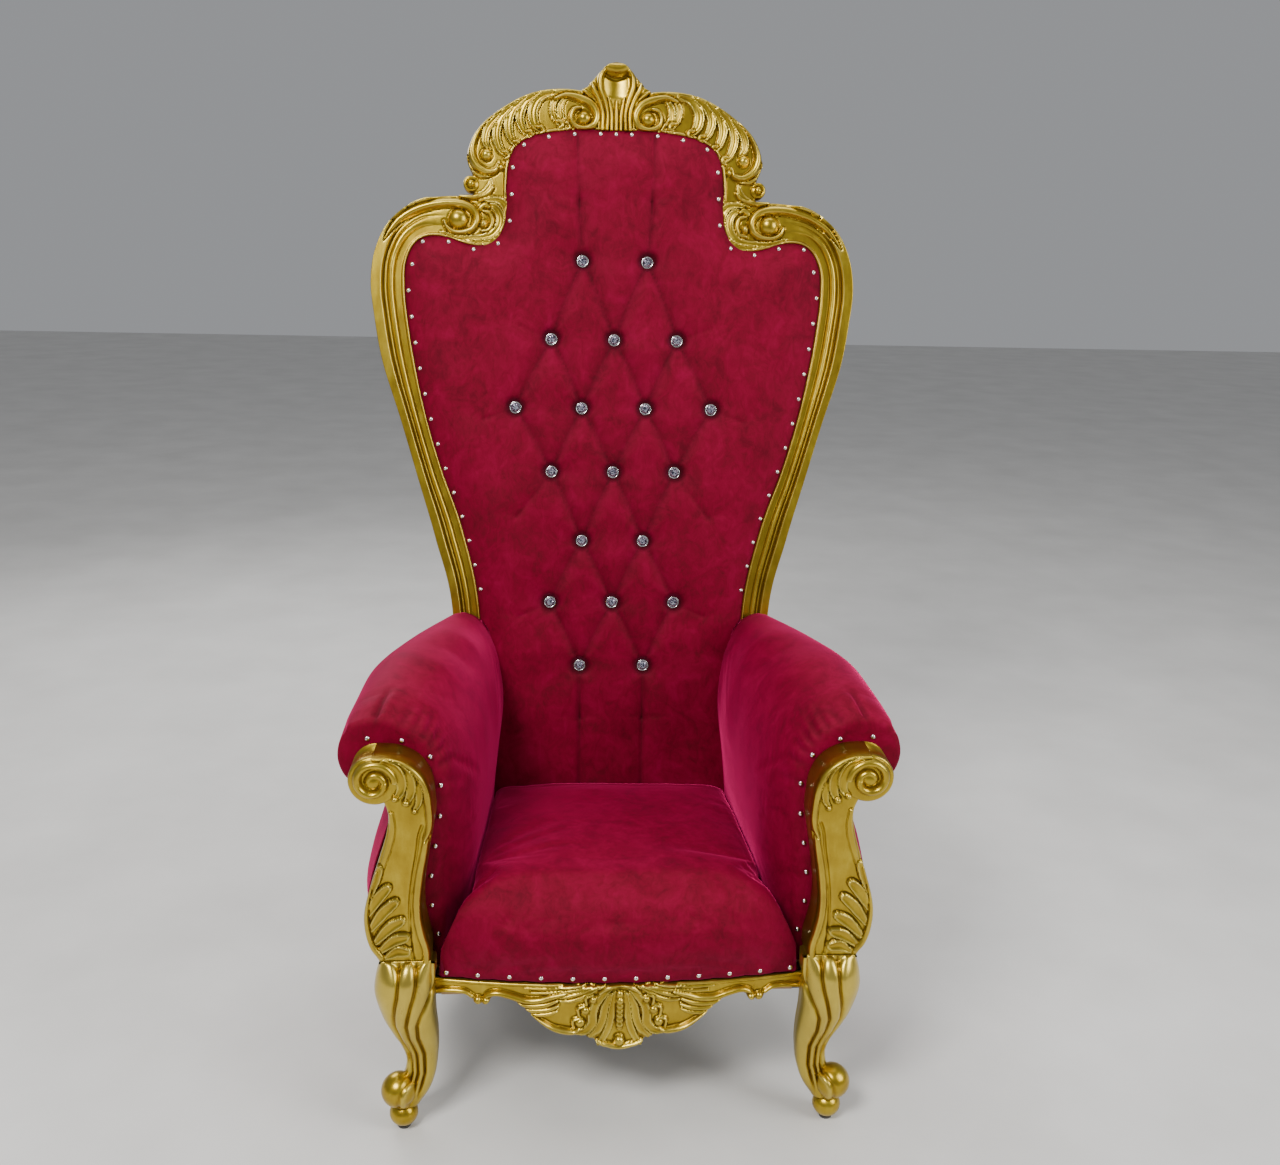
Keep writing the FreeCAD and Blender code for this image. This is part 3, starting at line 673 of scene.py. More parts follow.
def relief_on_back(x, v, h, chamfer, reach):
    """A closed part on the back plane: a relief front, square sides and a flat back."""
    walls = [on_back(x[:, k], v[:, k], h[:, k] - (FRAME_DEPTH + h[:, k]) * share)
             for k, share in ((-1, chamfer), (-1, 1.0), (0, 1.0), (0, chamfer))]
    return walled(on_back(x, v, h), walls, cavity_of(h, reach), WALL_SHADE_AND_GLAZE)


def carve_shoulder(r):
    """The outer roll curls into a C-scroll with a ball eye, beside a rolled leaf."""
    r.stroke([(208, 1136, 3), (210, 1116, 4), (224, 1109, 5), (244, 1114, 5), (262, 1108, 3)], 6, base=-6)
    r.stroke([(250, 1108, 3), (224, 1108, 7), (209, 1090, 8.5), (209, 1064, 8.5), (224, 1042, 8),
              (244, 1030, 6), (270, 1028, 4)], 11, "leaf", base=-8)
    r.stroke([(252, 1098, 3), (233, 1096, 6.5), (223, 1078, 8), (226, 1058, 8), (240, 1043, 7),
              (262, 1038, 6), (300, 1037, 4.5), (336, 1046, 3)], 11, "leaf", base=-8)
    r.stroke([(256, 1088, 3), (243, 1084, 5.5), (238, 1068, 6), (244, 1054, 5),
              (258, 1050, 3)], 10, base=-8)
    r.dome(255, 1064, 9, 13, base=-8)
    r.stroke([(244, 1096, 4), (252, 1100, 6), (262, 1092, 5), (268, 1078, 3)], 9, base=-8)
    r.stroke([(444, 1030, 3), (433, 1048, 7), (414, 1070, 9.5), (380, 1090, 10.2), (336, 1101, 10),
              (297, 1101, 9.5), (275, 1091, 9), (267, 1074, 8.5), (275, 1056, 7.5), (292, 1048, 6.5),
              (310, 1048, 5.5), (324, 1056, 4.5), (330, 1068, 3.5)], 16.5, base=-11, cut=2.2)
    r.dome(303, 1073, 19.5, 16, base=-9, cut=3)


def carve_neck(r):
    r.stroke([(236, 1132, 3), (244, 1124, 5), (256, 1118, 6), (276, 1114, 6), (300, 1116, 3)], 9, base=-6)
    r.stroke([(240, 1146, 3), (243, 1134, 5.5), (252, 1124, 4.5), (262, 1120, 3)], 9, "leaf", base=-6)
    r.stroke([(232, 1160, 3), (246, 1155, 5), (262, 1154, 5), (274, 1161, 3)], 7, base=-6)


def carve_crest(r):
    """Acanthus: a big volute by the finial, sprays of curling leaves, and a rolled end."""
    r.stroke([(288, 1188, 8), (280, 1226, 9), (252, 1256, 10), (214, 1283, 11), (168, 1303, 12),
              (118, 1313, 12), (70, 1314, 8)], 9, base=-5, cut=0.6)
    for path in ([(96, 1304, 3), (107, 1287, 6), (106, 1266, 6.5), (95, 1250, 4)],
                 [(110, 1306, 3), (121, 1290, 6), (120, 1270, 6), (110, 1254, 4)],
                 [(122, 1310, 3), (147, 1300, 8), (160, 1279, 10), (158, 1256, 9), (146, 1241, 5)],
                 [(150, 1308, 3), (175, 1290, 8), (185, 1266, 9), (179, 1243, 7), (168, 1232, 4)],
                 [(176, 1298, 3), (199, 1276, 8), (207, 1250, 9), (202, 1226, 7), (193, 1213, 4)],
                 [(200, 1284, 3), (223, 1259, 8), (230, 1231, 8.5), (223, 1206, 7), (213, 1194, 4)],
                 [(224, 1268, 3), (246, 1242, 7.5), (251, 1218, 7), (243, 1204, 4)]):
        r.stroke(path, 13, "leaf", base=-9, cut=2.0)
    for x, v in ((93, 1249), (108, 1252), (144, 1240), (165, 1231), (190, 1212), (211, 1192)):
        r.stroke([(x + 7, v + 7, 3), (x - 2, v + 6, 5), (x - 5, v - 2, 5),
                  (x + 2, v - 6, 3.5)], 10, base=-6, cut=1)
    r.stroke([(240, 1266, 4), (264, 1240, 7), (277, 1206, 8.5), (271, 1178, 8.5), (251, 1162, 7.5),
              (232, 1164, 6), (224, 1178, 4)], 13, base=-7, cut=1.8)
    r.dome(249, 1193, 12, 14, base=-7, cut=2.5)
    r.dome(221, 1170, 6, 10, base=-5)
    r.stroke([(118, 1300, 3), (98, 1307, 6), (74, 1304, 8), (50, 1294, 8.5), (37, 1274, 8.5),
              (42, 1255, 8), (60, 1246, 7.5), (79, 1251, 6.5), (87, 1266, 5.5), (82, 1281, 4.5),
              (70, 1285, 3.5)], 14, base=-8, cut=2.2)
    r.dome(62, 1267, 14, 14, base=-9, cut=3)


SCROLL_START = (388, 1100), (338, 1114)     # on the shoulder's outer edge


def back_frame_half():
    edges = band_points(STILE + SHOULDER + CREST, 1.7)
    t = np.linspace(0, 1, 58)
    x, v = across(edges, t)
    # The stile's moulding runs up to the shoulder scroll; beyond it the ground is hollow.
    before, after = (np.argmin(np.hypot(edges[:, 0] - px, edges[:, 1] - pv)) for px, pv in SCROLL_START)
    blend = smooth(before - 60, after + 10, np.arange(len(edges)))[:, None]
    t = np.broadcast_to(t, x.shape)
    ground = np.maximum(-7 - 2.5 * np.sin(np.pi * t) ** 2, -6 + bead(t, 0.05, 0.06, 9.5))
    r = Relief(x, v, moulding(t) * (1 - blend) + ground * blend)
    carve_shoulder(r)
    carve_neck(r)
    carve_crest(r)
    h = np.clip(r.h - rounded(from_edge(edges, t), 5.0), -16, 10)
    return relief_on_back(x, v, h, 0.3, 10)


SIDE_BALL = 278, 1138


def side_ball():
    """The small side scroll: a ball within a curl, on a disc."""
    x, v = SIDE_BALL
    lat = np.linspace(-np.pi / 2 + 0.05, np.pi / 2 - 0.05, 14)[:, None]
    reach, lon = 7.5 * np.cos(lat), turns(24)
    eye = on_back(x + reach * np.cos(lon), v + reach * np.sin(lon), 1 + 7.5 * np.sin(lat))
    a = np.linspace(math.radians(150), math.radians(-120), 40)[:, None]
    size = 4.2 * np.interp(np.linspace(0, 1, 40), [0, 0.3, 1], [0.6, 1, 0.55])[:, None]
    reach = 11.5 + size * np.cos(turns(16))
    curl = on_back(x + reach * np.cos(a), v + reach * np.sin(a), size * np.sin(turns(16)) - 2)
    disc = np.stack([on_back(x + reach * np.cos(turns(40)), v + reach * np.sin(turns(40)), h)
                     for reach, h in ((13, -FRAME_DEPTH), (15, -30), (15, -6), (13, -2))])
    # the disc gets some glaze and painted shade all over
    return [tube(eye), tube(curl), tube(disc, 0.3)]


both_sides("carved_back_frame", merged([back_frame_half()] + side_ball()), GOLD,
           ["stile", "shoulder", "crest_rail"])


def finial():
    """A fluted plume between the volutes: a hollow panel between leaf rims, under a lip that curls over."""
    width = np.array([(1243, 36), (1262, 35), (1285, 35), (1298, 42), (1308, 58), (1316, 67), (1321, 64),
                      (1325, 55), (1331, 52), (1335, 47), (1341, 42), (1347, 37), (1353, 31), (1359, 24),
                      (1364, 17), (1367, 11), (1370, 4)], float)
    v = np.arange(1243, 1370.1, 1.1)
    w = np.interp(v, width[:, 0], width[:, 1])[:, None]
    u = np.linspace(-1, 1, 121)
    x = w * u
    vv = np.broadcast_to(v[:, None], x.shape)
    r = Relief(np.abs(x), vv, -3.0)
    r.h -= 9.0 * np.clip(1 - (x / 28) ** 2, 0, 1) * smooth(1286, 1312, vv)
    r.stroke([(36, 1246, 5), (35, 1275, 5.5), (44, 1298, 5.5), (56, 1311, 4.5), (64, 1317, 3)], 9, base=-5)
    r.stroke([(27, 1244, 5), (26, 1275, 5.5), (33, 1300, 6), (43, 1318, 5.5), (47, 1330, 3.5)], 10, base=-4)
    r.stroke([(18, 1244, 4.5), (17, 1275, 5), (23, 1300, 6), (31, 1322, 6.5), (31, 1342, 6),
              (24, 1354, 5)], 12, base=-4)
    r.stroke([(9, 1244, 4), (9, 1270, 4.5), (12, 1290, 4), (15, 1304, 2.5)], 7, base=-3)
    r.stroke([(0, 1244, 4), (0, 1275, 4.5), (0, 1298, 2.5)], 7, base=-3)
    above_lip = vv - (1347 + 0.013 * x ** 2)
    lip = -6 + 17 * np.sqrt(np.clip(1 - ((above_lip - 12) / 14) ** 2, 0, 1))
    h = np.where((above_lip > -2) & (np.abs(x) < 30), np.maximum(r.h, lip), r.h)
    h = h - 4 * np.exp(-((above_lip + 5) / 3) ** 2) * (np.abs(x) < 24)
    h = h - rounded((1 - np.abs(u)) * w, 5) - 4 * smooth(1362, 1371, vv)
    mesh_object("carved_finial", relief_on_back(x, vv, np.clip(h, -14, 11), 0.4, 8), GOLD, ["crest_finial"])


finial()


# ---------------------------------------------------------------- apron

APRON_LOW = [
    (0, 153), (12, 154), (22, 158), (36, 159), (42, 168), (52, 176), (64, 180), (84, 181), (104, 186),
    (122, 196), (142, 213), (158, 229), (172, 241), (186, 247), (206, 250), (216, 245), (224, 237),
    (233, 233), (243, 236), (250, 242), (262, 251), (296, 250), (318, 245),
]
APRON_TOP = 281.0
APRON_HALF = 318.0
APRON_DEPTH = 30.0


def carve_apron(r):
    """Leaf tongues along a serpentine bead, feathered strands, and a beaded shell in the middle."""
    r.stroke([(0, 277, 3.5), (160, 276, 3.5), (322, 276, 3.5)], 4, base=-4)
    r.stroke([(324, 252, 4), (296, 257, 5), (266, 258, 5), (250, 250, 4.5)], 8, base=-5)
    r.dome(240, 243, 8.5, 11, base=-5)
    r.stroke([(160, 271, 2), (120, 270, 3.6), (88, 275, 3.6), (60, 281, 2.5)], 5)
    r.stroke([(150, 263, 2), (112, 263, 4), (78, 268, 4), (46, 278, 3), (30, 283, 2)], 6)
    r.stroke([(122, 258, 2), (94, 256, 4.4), (66, 264, 4.4), (42, 276, 3), (26, 283, 2)], 7)
    r.stroke([(104, 249, 2), (84, 248, 4.6), (62, 256, 4.6), (42, 270, 3.4), (26, 281, 2)], 7)
    r.stroke([(228, 246, 3), (222, 255, 5), (206, 259, 6), (184, 254, 6.5), (160, 247, 6.5),
              (136, 248, 6.5), (114, 256, 6), (92, 264, 3)], 10, base=-5)
    r.dome(226, 243, 8, 11, base=-5)
    r.stroke([(176, 241, 3), (152, 237, 5.5), (128, 239, 6), (106, 249, 3.5)], 9, base=-5)
    r.stroke([(164, 230, 3), (144, 228, 5), (122, 230, 5.5), (104, 239, 3)], 8.5, base=-5)
    r.stroke([(154, 221, 3), (136, 220, 4.5), (118, 223, 4.5), (106, 229, 2.5)], 8, base=-5)
    r.stroke([(150, 219, 4), (132, 205, 6), (114, 194, 6.5), (94, 189, 6.5), (76, 189, 5.5),
              (66, 197, 4)], 11, base=-5)
    r.stroke([(72, 186, 3), (58, 192, 7), (47, 206, 8), (46, 222, 7.5), (42, 240, 7), (32, 256, 6),
              (20, 270, 4.5), (8, 282, 3)], 10, "leaf", base=-5)
    for x, z, radius in ((67, 206, 9), (58, 230, 8), (45, 251, 7)):
        r.dome(x, z, radius, 8, base=-3)
        r.stroke([(x + 1, z + 9, 2), (x + 12, z + 4, 3.5), (x + 11, z - 9, 3)], 7, base=-4)
    r.stroke([(54, 178, 3), (38, 192, 6.5), (29, 214, 7), (25, 238, 6.5), (17, 260, 4)], 9, "leaf", base=-5)
    r.stroke([(36, 164, 3), (24, 184, 6), (16, 210, 6), (13, 238, 5.5), (10, 262, 4)], 9, "leaf", base=-5)
    r.stroke([(0, 196, 6), (0, 230, 8.5), (0, 262, 7)], 8, base=-4)
    for z in (206, 215, 224, 233, 242, 251):
        r.dome(0, z, 6.0, 4.0, base=4, cut=1.0)
    r.stroke([(34, 266, 3), (24, 274, 5), (10, 281, 6), (-4, 283, 6)], 11, base=-4)
    r.stroke([(-4, 158, 6), (12, 160, 6), (26, 164, 5), (38, 170, 3)], 10, base=-5)
    r.dome(0, 172, 10, 13, base=-4)


def apron():
    x = np.linspace(-APRON_HALF, APRON_HALF, 471)
    low_curve = curve(APRON_LOW, 400)
    low = np.interp(np.abs(x), low_curve[:, 0], low_curve[:, 1])
    z = low[:, None] + (APRON_TOP - low)[:, None] * np.linspace(0, 1, 74)
    xx = np.broadcast_to(x[:, None], z.shape)
    r = Relief(np.abs(xx), z, -4.5)
    carve_apron(r)
    h = np.clip(r.h - rounded(z - low[:, None], 6) - rounded(APRON_TOP - z, 4), -14, 8)
    y = bow_y(x)
    walls = [xyz(x, y + depth, edge) for edge, depth in
             ((APRON_TOP, 5), (APRON_TOP, APRON_DEPTH), (low, APRON_DEPTH), (low, 14))]
    # the walls behind the carving get a little glaze and painted shade
    part = walled(xyz(xx, y[:, None] - h, z), walls, cavity_of(h), 0.15)
    mesh_object("carved_apron", part, GOLD, ["front_rail"])


apron()


# ---------------------------------------------------------------- arm posts

POST = [
    ((396, 326), (315, 326)), ((409, 350), (315, 350)), ((418, 382), (321, 380)), ((420, 415), (326, 410)),
    ((415, 446), (326, 444)), ((403, 486), (321, 486)), ((391, 524), (315, 522)), ((381, 558), (308, 560)),
    ((376, 586), (304, 588)), ((377, 604), (305, 614)), ((382, 618), (308, 640)), ((388, 630), (316, 662)),
    ((392, 642), (329, 679)), ((395, 650), (345, 690)), ((396, 656), (366, 697)), ((397, 658), (397, 699)),
]
POST_FRONT_Y = -38.0
POST_SIDE_Y = -24.0
POST_REAR_Y = 20.0
SCROLL_X, SCROLL_Z, SCROLL_RADIUS = 396.0, 657.0, 41.0


def carve_post(r):
    """A panel between edge mouldings, a feathered leaf low on the outer side, and lobes under the scroll."""
    r.stroke([(322, 330, 6), (322, 352, 6), (330, 384, 6.5), (334, 412, 6.5), (334, 446, 6.5),
              (329, 488, 6.5), (322, 524, 6), (316, 556, 5)], 6, base=-3)
    r.groove([(343, 336), (347, 372), (347, 410), (345, 446), (340, 486), (333, 526), (328, 560),
              (322, 578)], 3, 2.6)
    r.stroke([(371, 600, 4), (370, 572, 5), (377, 540, 5.5), (388, 506, 4)], 4, base=-3)
    for x0, z0, x1, z1 in ((350, 354, 384, 344), (352, 380, 394, 356), (358, 410, 402, 372),
                           (367, 444, 409, 396), (378, 470, 412, 424), (390, 505, 409, 456)):
        middle = ((x0 + x1) / 2 + 1, (z0 + z1) / 2 + 5, 9.5)
        r.stroke([(x0, z0, 3.5), (x0 + 4, z0 - 2, 7.5), middle, (x1, z1, 5)], 9, "leaf", base=-3, cut=2.0)
    r.stroke([(398, 498, 3), (410, 464, 5), (417, 430, 6.5), (417, 396, 7), (410, 366, 7),
              (394, 342, 6)], 9, base=-4)
    r.stroke([(318, 556, 3), (309, 580, 7), (308, 612, 9.5), (314, 644, 11), (330, 672, 11),
              (352, 689, 9), (378, 697, 7), (396, 699, 6)], 11, base=-4)
    r.stroke([(334, 607, 2.5), (326, 622, 5), (326, 646, 6.5), (338, 670, 7),
              (356, 684, 6)], 9, "leaf", base=-3)
    r.stroke([(345, 622, 4), (338, 640, 7.5), (340, 662, 9), (354, 680, 9),
              (372, 690, 7)], 10, "leaf", base=-3)
    r.stroke([(362, 629, 4), (353, 644, 7), (353, 662, 9), (362, 680, 9),
              (378, 690, 7)], 11, "leaf", base=-3)
    r.dome(333, 606, 4.5, 7, base=-2)
    r.dome(346, 621, 6.5, 10, base=-2)
    r.dome(363, 629, 6, 11, base=-2)


def scroll_face():
    """The volute at the post's head: a roll that winds inwards to a domed eye."""
    full = 2 * np.pi
    rr, aa = np.meshgrid(np.linspace(0.0, SCROLL_RADIUS, 44), turns(150), indexing="ij")
    h = np.full_like(rr, -2.0)
    for lap in (0, 1):
        angle = (np.pi - aa) % full + lap * full
        centre = 34.0 - 16.5 * angle / full - (angle / full) ** 2
        half = np.interp(angle, [0, full, 1.7 * full], [7.6, 7.0, 4.5])
        roll = (11.5 - 1.2 * lap) * dome_of(np.clip((rr - centre) / half, -1, 1))
        h = np.maximum(h, -2 + roll * smooth(1.75 * full, 1.45 * full, angle))
    eye = np.hypot(rr * np.cos(aa) - 1, rr * np.sin(aa) - 1)
    h = np.maximum(h, -1 + 9.0 * dome_of(eye / 13.5)) - rounded(SCROLL_RADIUS - rr, 4.5)
    x, z = SCROLL_X + rr * np.cos(aa), SCROLL_Z + rr * np.sin(aa)
    rim = [xyz(x[-1], y, z[-1]) for y in (POST_FRONT_Y + 14, POST_REAR_Y)]
    rings = np.concatenate([xyz(x, POST_FRONT_Y - h, z), np.stack(rim)], 0)
    painted_shade_and_glaze = np.concatenate([cavity_of(h, 8), np.full((2, 150), WALL_SHADE_AND_GLAZE)], 0).ravel()
    n, m = rings.shape[:2]
    verts = rings.reshape(-1, 3)
    return verts, outward(verts, [ring_faces(n, m), list(range((n - 1) * m, n * m))]), painted_shade_and_glaze


def arm_post():
    edges = band_points(POST, 1.5)
    t = np.linspace(0, 1, 72)
    x, z = across(edges, t)
    r = Relief(x, z, -3.0)
    carve_post(r)
    h = np.clip(r.h - rounded(from_edge(edges, t), 5), -12, 9)
    walls = [xyz(edges[:, k], y, edges[:, k + 1])
             for k, y in ((0, POST_SIDE_Y), (0, POST_REAR_Y), (2, POST_REAR_Y), (2, POST_SIDE_Y))]
    part = walled(xyz(x, POST_FRONT_Y - h, z), walls, cavity_of(h), WALL_SHADE_AND_GLAZE)
    return merged([part, scroll_face()])


both_sides("carved_arm_post", arm_post(), GOLD, ["arm_post"])


# ---------------------------------------------------------------- front legs

LEG_FOOT, LEG_SHOULDER, LEG_TOP = 46.0, 296.0, 333.0
# Sections of the leg: (z, centre x, centre y, half width, half depth), and lines (z, x) of its grooves.
LEG = [
    (333, 355, -14, 43, 42), (326, 356, -15, 44, 43), (300, 359, -18, 48, 45), (270, 360, -19, 49, 45),
    (226, 354, -16, 44, 41), (191, 346, -11, 38, 36), (160, 339, -6, 31, 30), (130, 336, -4, 26, 26),
    (101, 340, -6, 26, 26), (72, 350, -12, 26, 25), (46, 361, -18, 20, 19),
]
LEG_GROOVES = [
    [(340, 304), (300, 308), (280, 313), (260, 322), (240, 331), (220, 338), (190, 338), (150, 330),
     (110, 330), (46, 348)],
    [(340, 336), (300, 337), (280, 341), (260, 347), (240, 352), (220, 356), (190, 353), (150, 343),
     (110, 342), (46, 358)],
    [(340, 366), (300, 367), (280, 369), (260, 373), (240, 376), (220, 376), (190, 368), (150, 354),
     (110, 352), (46, 368)],
]


def ball(centre, radius, squash=1.0, relief=None):
    """A part for a ball, with the heights and the painted shade and glaze of a relief over its unit
    directions.
    """
    lat = np.linspace(-np.pi / 2 + 0.04, np.pi / 2 - 0.04, 34)[:, None]
    unit = xyz(np.cos(lat) * np.cos(turns(52)), np.cos(lat) * np.sin(turns(52)), np.sin(lat))
    h, painted_shade_and_glaze = relief(unit) if relief else (np.zeros(unit.shape[:2]), 0.0)
    return tube(centre + unit * (radius + h)[..., None] * (1, 1, squash), painted_shade_and_glaze)


def toe_rim(unit):
    """The leg's reeds lap over the toe and end in a crescent low on its inner side."""
    axis = np.array((-0.86, -0.48, -0.16))
    axis /= np.linalg.norm(axis)
    angle = np.degrees(np.arccos(np.clip(unit @ axis, -1, 1)))
    h = 3.2 * np.exp(-((angle - 44) / 7) ** 2) - 2.4 * np.exp(-((angle - 56) / 5) ** 2)
    # the raised rim gets pale wear and painted highlight, the groove beside it glaze and painted shade
    return h, np.clip(-h / 3, -0.6, 0.8)


def front_leg():
    key = curve(sorted(LEG), 200)
    z = np.linspace(LEG_FOOT, LEG_TOP, 176)
    cx, cy, ax, ay = sampled(key[:, 1:], key[:, 0], z).T
    cos, sin = np.cos(turns(200)), np.sin(turns(200))
    x = cx[:, None] + ax[:, None] * cos
    y = cy[:, None] + ay[:, None] * sin
    zz = np.broadcast_to(z[:, None], x.shape)
    lines = [np.interp(z, *np.array(sorted(g), float).T) for g in LEG_GROOVES]
    depth = np.zeros_like(x)
    for g in lines:
        depth -= 5.5 * np.exp(-np.abs((x - g[:, None]) / 3.0) ** 1.4)
    # rounded reeds between the grooves, each with its own rounded top
    sides = [cx - ax] + lines + [cx + ax]
    tip = np.full_like(x, LEG_TOP)
    for low, high in zip(sides, sides[1:]):
        q = (x - low[:, None]) / np.maximum(high - low, 4)[:, None] * 2 - 1
        inside = np.abs(q) <= 1
        depth += np.where(inside, 3.2 * dome_of(q), 0)
        tip = np.where(inside, LEG_TOP - 14 * np.abs(q) ** 2.2, tip)
    # the carving fades where the foot rounds under
    fade = smooth(52, 92, z)[:, None]
    out = np.stack([cos * ay[:, None], sin * ax[:, None]], -1)
    out /= np.linalg.norm(out, axis=-1, keepdims=True)
    x = x + out[..., 0] * depth * fade
    y = y + out[..., 1] * depth * fade
    over = np.clip((zz - LEG_SHOULDER) / (tip - LEG_SHOULDER), 0, 1)
    y = np.where(y < POST_FRONT_Y, POST_FRONT_Y + (y - POST_FRONT_Y) * dome_of(over), y)
    y = np.where(zz > 326.5, np.minimum(y, POST_FRONT_Y + 2), y)
    # the grooves get glaze and painted shade, the reeds pale wear and painted highlight
    leg = tube(xyz(x, y, zz), np.clip(-depth / 4 - 0.1, -0.5, 1) * fade)
    toe = ball((375, -27, 77), 30.5, 1.0, toe_rim)
    pad = ball((369, -21, 27), 24.5, 0.93)
    pad[0][:, 2] = np.maximum(pad[0][:, 2], 4.0)
    collar = np.stack([xyz(369 + r * np.cos(turns(48)), -22 + r * np.sin(turns(48)), height)
                       for r, height in ((12, 40), (17, 44), (20, 49), (21, 54), (16, 58))])
    # the collar gets some glaze and painted shade
    return merged([leg, toe, pad, tube(collar, 0.3)])


both_sides("carved_front_leg", front_leg(), GOLD, ["front_leg"])


# ---------------------------------------------------------------- upholstery

RNG = np.random.default_rng(7)
PAD_BOTTOM = -72.0
PAD_HEIGHT = 23.0
PAD_EDGE = -3.0
PAD_REAR = -32.0
PAD_SHARE = 0.955       # where the pad ends, across the frame's band
PLEAT_RUN = 110.0       # the pad's surface is worked out as if it ran on below its foot


def rough_field(shape, coarse, amount):
    """Smooth, fixed random unevenness over a grid."""
    n, m = (max(4, int(k / coarse)) for k in shape)
    seed = RNG.standard_normal((n, m))
    rows = sampled(seed, np.arange(n), np.linspace(0, n - 1, shape[0]))
    full = sampled(rows.T, np.arange(m), np.linspace(0, m - 1, shape[1])).T
    return amount * blurred(full, max(2, int(coarse / 3)))


def within(x, y, outline):
    """Distance inside a closed outline (negative outside) and the nearest point on it."""
    best, nx, ny = np.full(x.shape, 1e12), np.zeros(x.shape), np.zeros(x.shape)
    inside = np.zeros(x.shape, bool)
    for (ax, ay), (bx, by) in zip(outline, np.roll(outline, -1, 0)):
        ux, uy = bx - ax, by - ay
        t = np.clip(((x - ax) * ux + (y - ay) * uy) / max(ux * ux + uy * uy, 1e-9), 0, 1)
        qx, qy = ax + t * ux, ay + t * uy
        e = (x - qx) ** 2 + (y - qy) ** 2
        near = e < best
        best, nx, ny = np.where(near, e, best), np.where(near, qx, nx), np.where(near, qy, ny)
        if uy:
            inside ^= ((ay > y) != (by > y)) & (x < ux * (y - ay) / uy + ax)
    d = np.sqrt(best)
    return np.where(inside, d, -d), nx, ny


def shaped(outline, step, front, rear, place, rear_grid=False):
    """A closed part over an outline. front(x, y, d) gives the height and painted shade of its face, d in
    from the edge, and rear(x, y, h) the height of its back, which is one flat face or a grid like the front."""
    low, high = outline.min(0), outline.max(0)
    gx = np.linspace(low[0], high[0], int((high[0] - low[0]) / step) + 2)
    gy = np.linspace(low[1], high[1], int((high[1] - low[1]) / step) + 2)
    x, y = np.meshgrid(gx, gy, indexing="ij")
    d, nx, ny = within(x, y, outline)
    used = d > 0.25 * step
    cells = used[:-1, :-1] & used[1:, :-1] & used[:-1, 1:] & used[1:, 1:]
    i, j = np.nonzero(cells)
    m = len(gy)
    quads = np.stack([i * m + j, (i + 1) * m + j, (i + 1) * m + j + 1, i * m + j + 1], 1)
    sides = np.concatenate([quads[:, [a, b]] for a, b in ((0, 1), (1, 2), (2, 3), (3, 0))])
    key = sides.min(1) * x.size + sides.max(1)
    _, first, count = np.unique(key, return_index=True, return_counts=True)
    rim = sides[first[count == 1]]
    on_rim = np.zeros(x.size, bool)
    on_rim[rim.ravel()] = True
    on_rim = on_rim.reshape(x.shape)
    h, shade = front(x, y, np.maximum(d, 0))
    x, y = np.where(on_rim, nx, x), np.where(on_rim, ny, y)
    h = np.where(on_rim, front(x, y, np.zeros_like(x))[0], h)
    keep = np.unique(quads)
    index = np.full(x.size, -1)
    index[keep] = np.arange(len(keep))
    quads, rim = index[quads], index[rim]
    fx, fy, fh, fs = (a.ravel()[keep] for a in (x, y, h, shade))
    n = len(keep)
    if rear_grid:
        verts = np.vstack([place(fx, fy, fh), place(fx, fy, rear(fx, fy, fh))])
        walls = np.stack([rim[:, 1], rim[:, 0], rim[:, 0] + n, rim[:, 1] + n], 1)
        return verts, [quads, quads[:, ::-1] + n, walls], np.r_[fs, fs]
    follow = dict(zip(rim[:, 0].tolist(), rim[:, 1].tolist()))
    loop = [int(rim[0, 0])]
    while follow[loop[-1]] != loop[0]:
        loop.append(follow[loop[-1]])
    back = place(fx[loop], fy[loop], rear(fx[loop], fy[loop], fh[loop]))
    k = np.arange(len(loop))
    k2 = (k + 1) % len(loop)
    line = np.array(loop)
    walls = np.stack([line[k2], line[k], n + k, n + k2], 1)
    verts = np.vstack([place(fx, fy, fh), back])
    # the flat back gets a middling painted shade
    return verts, [quads, walls, (n + k)[::-1].tolist()], np.r_[fs, np.full(len(loop), 0.5)]


def half_outline(share, bottom, foot=()):
    """Closed outline of the back at a share across the frame, from bottom upwards, with its mirror image."""
    edges = band_points(STILE + SHOULDER + CREST, 4.0)
    line = edges[:, :2] + (edges[:, 2:] - edges[:, :2]) * share
    line = line[line[:, 1] > bottom + 2]
    start = list(foot) or [(line[0, 0], bottom)]
    right = np.vstack([start, line])
    return np.vstack([right, (right * (-1, 1))[::-1]])


def buttons():
    return [(side * x, v) for v, places in BUTTON_ROWS for x in places for side in ((1, -1) if x else (1,))]


def creases():
    """Folds between neighbouring buttons, and the pleats that run on to the edges: (start, end, depth)."""
    links = {}
    for (v0, row0), (v1, row1) in zip(BUTTON_ROWS, BUTTON_ROWS[1:]):
        for a in row0:
            for b in row1:
                if abs(a - b) < 80:
                    links[(a, v0), (b, v1)] = links[(-a, v0), (-b, v1)] = 1.0
            if 0 < a < 70 and 0 in row1:
                links[(-a, v0), (0, v1)] = 1.0
    for side in (1, -1):
        for x0, v0, x1, v1, depth in PLEATS:
            links[(side * x0, v0), (side * x1, v1)] = depth
    return [(a, b, depth) for (a, b), depth in links.items()]


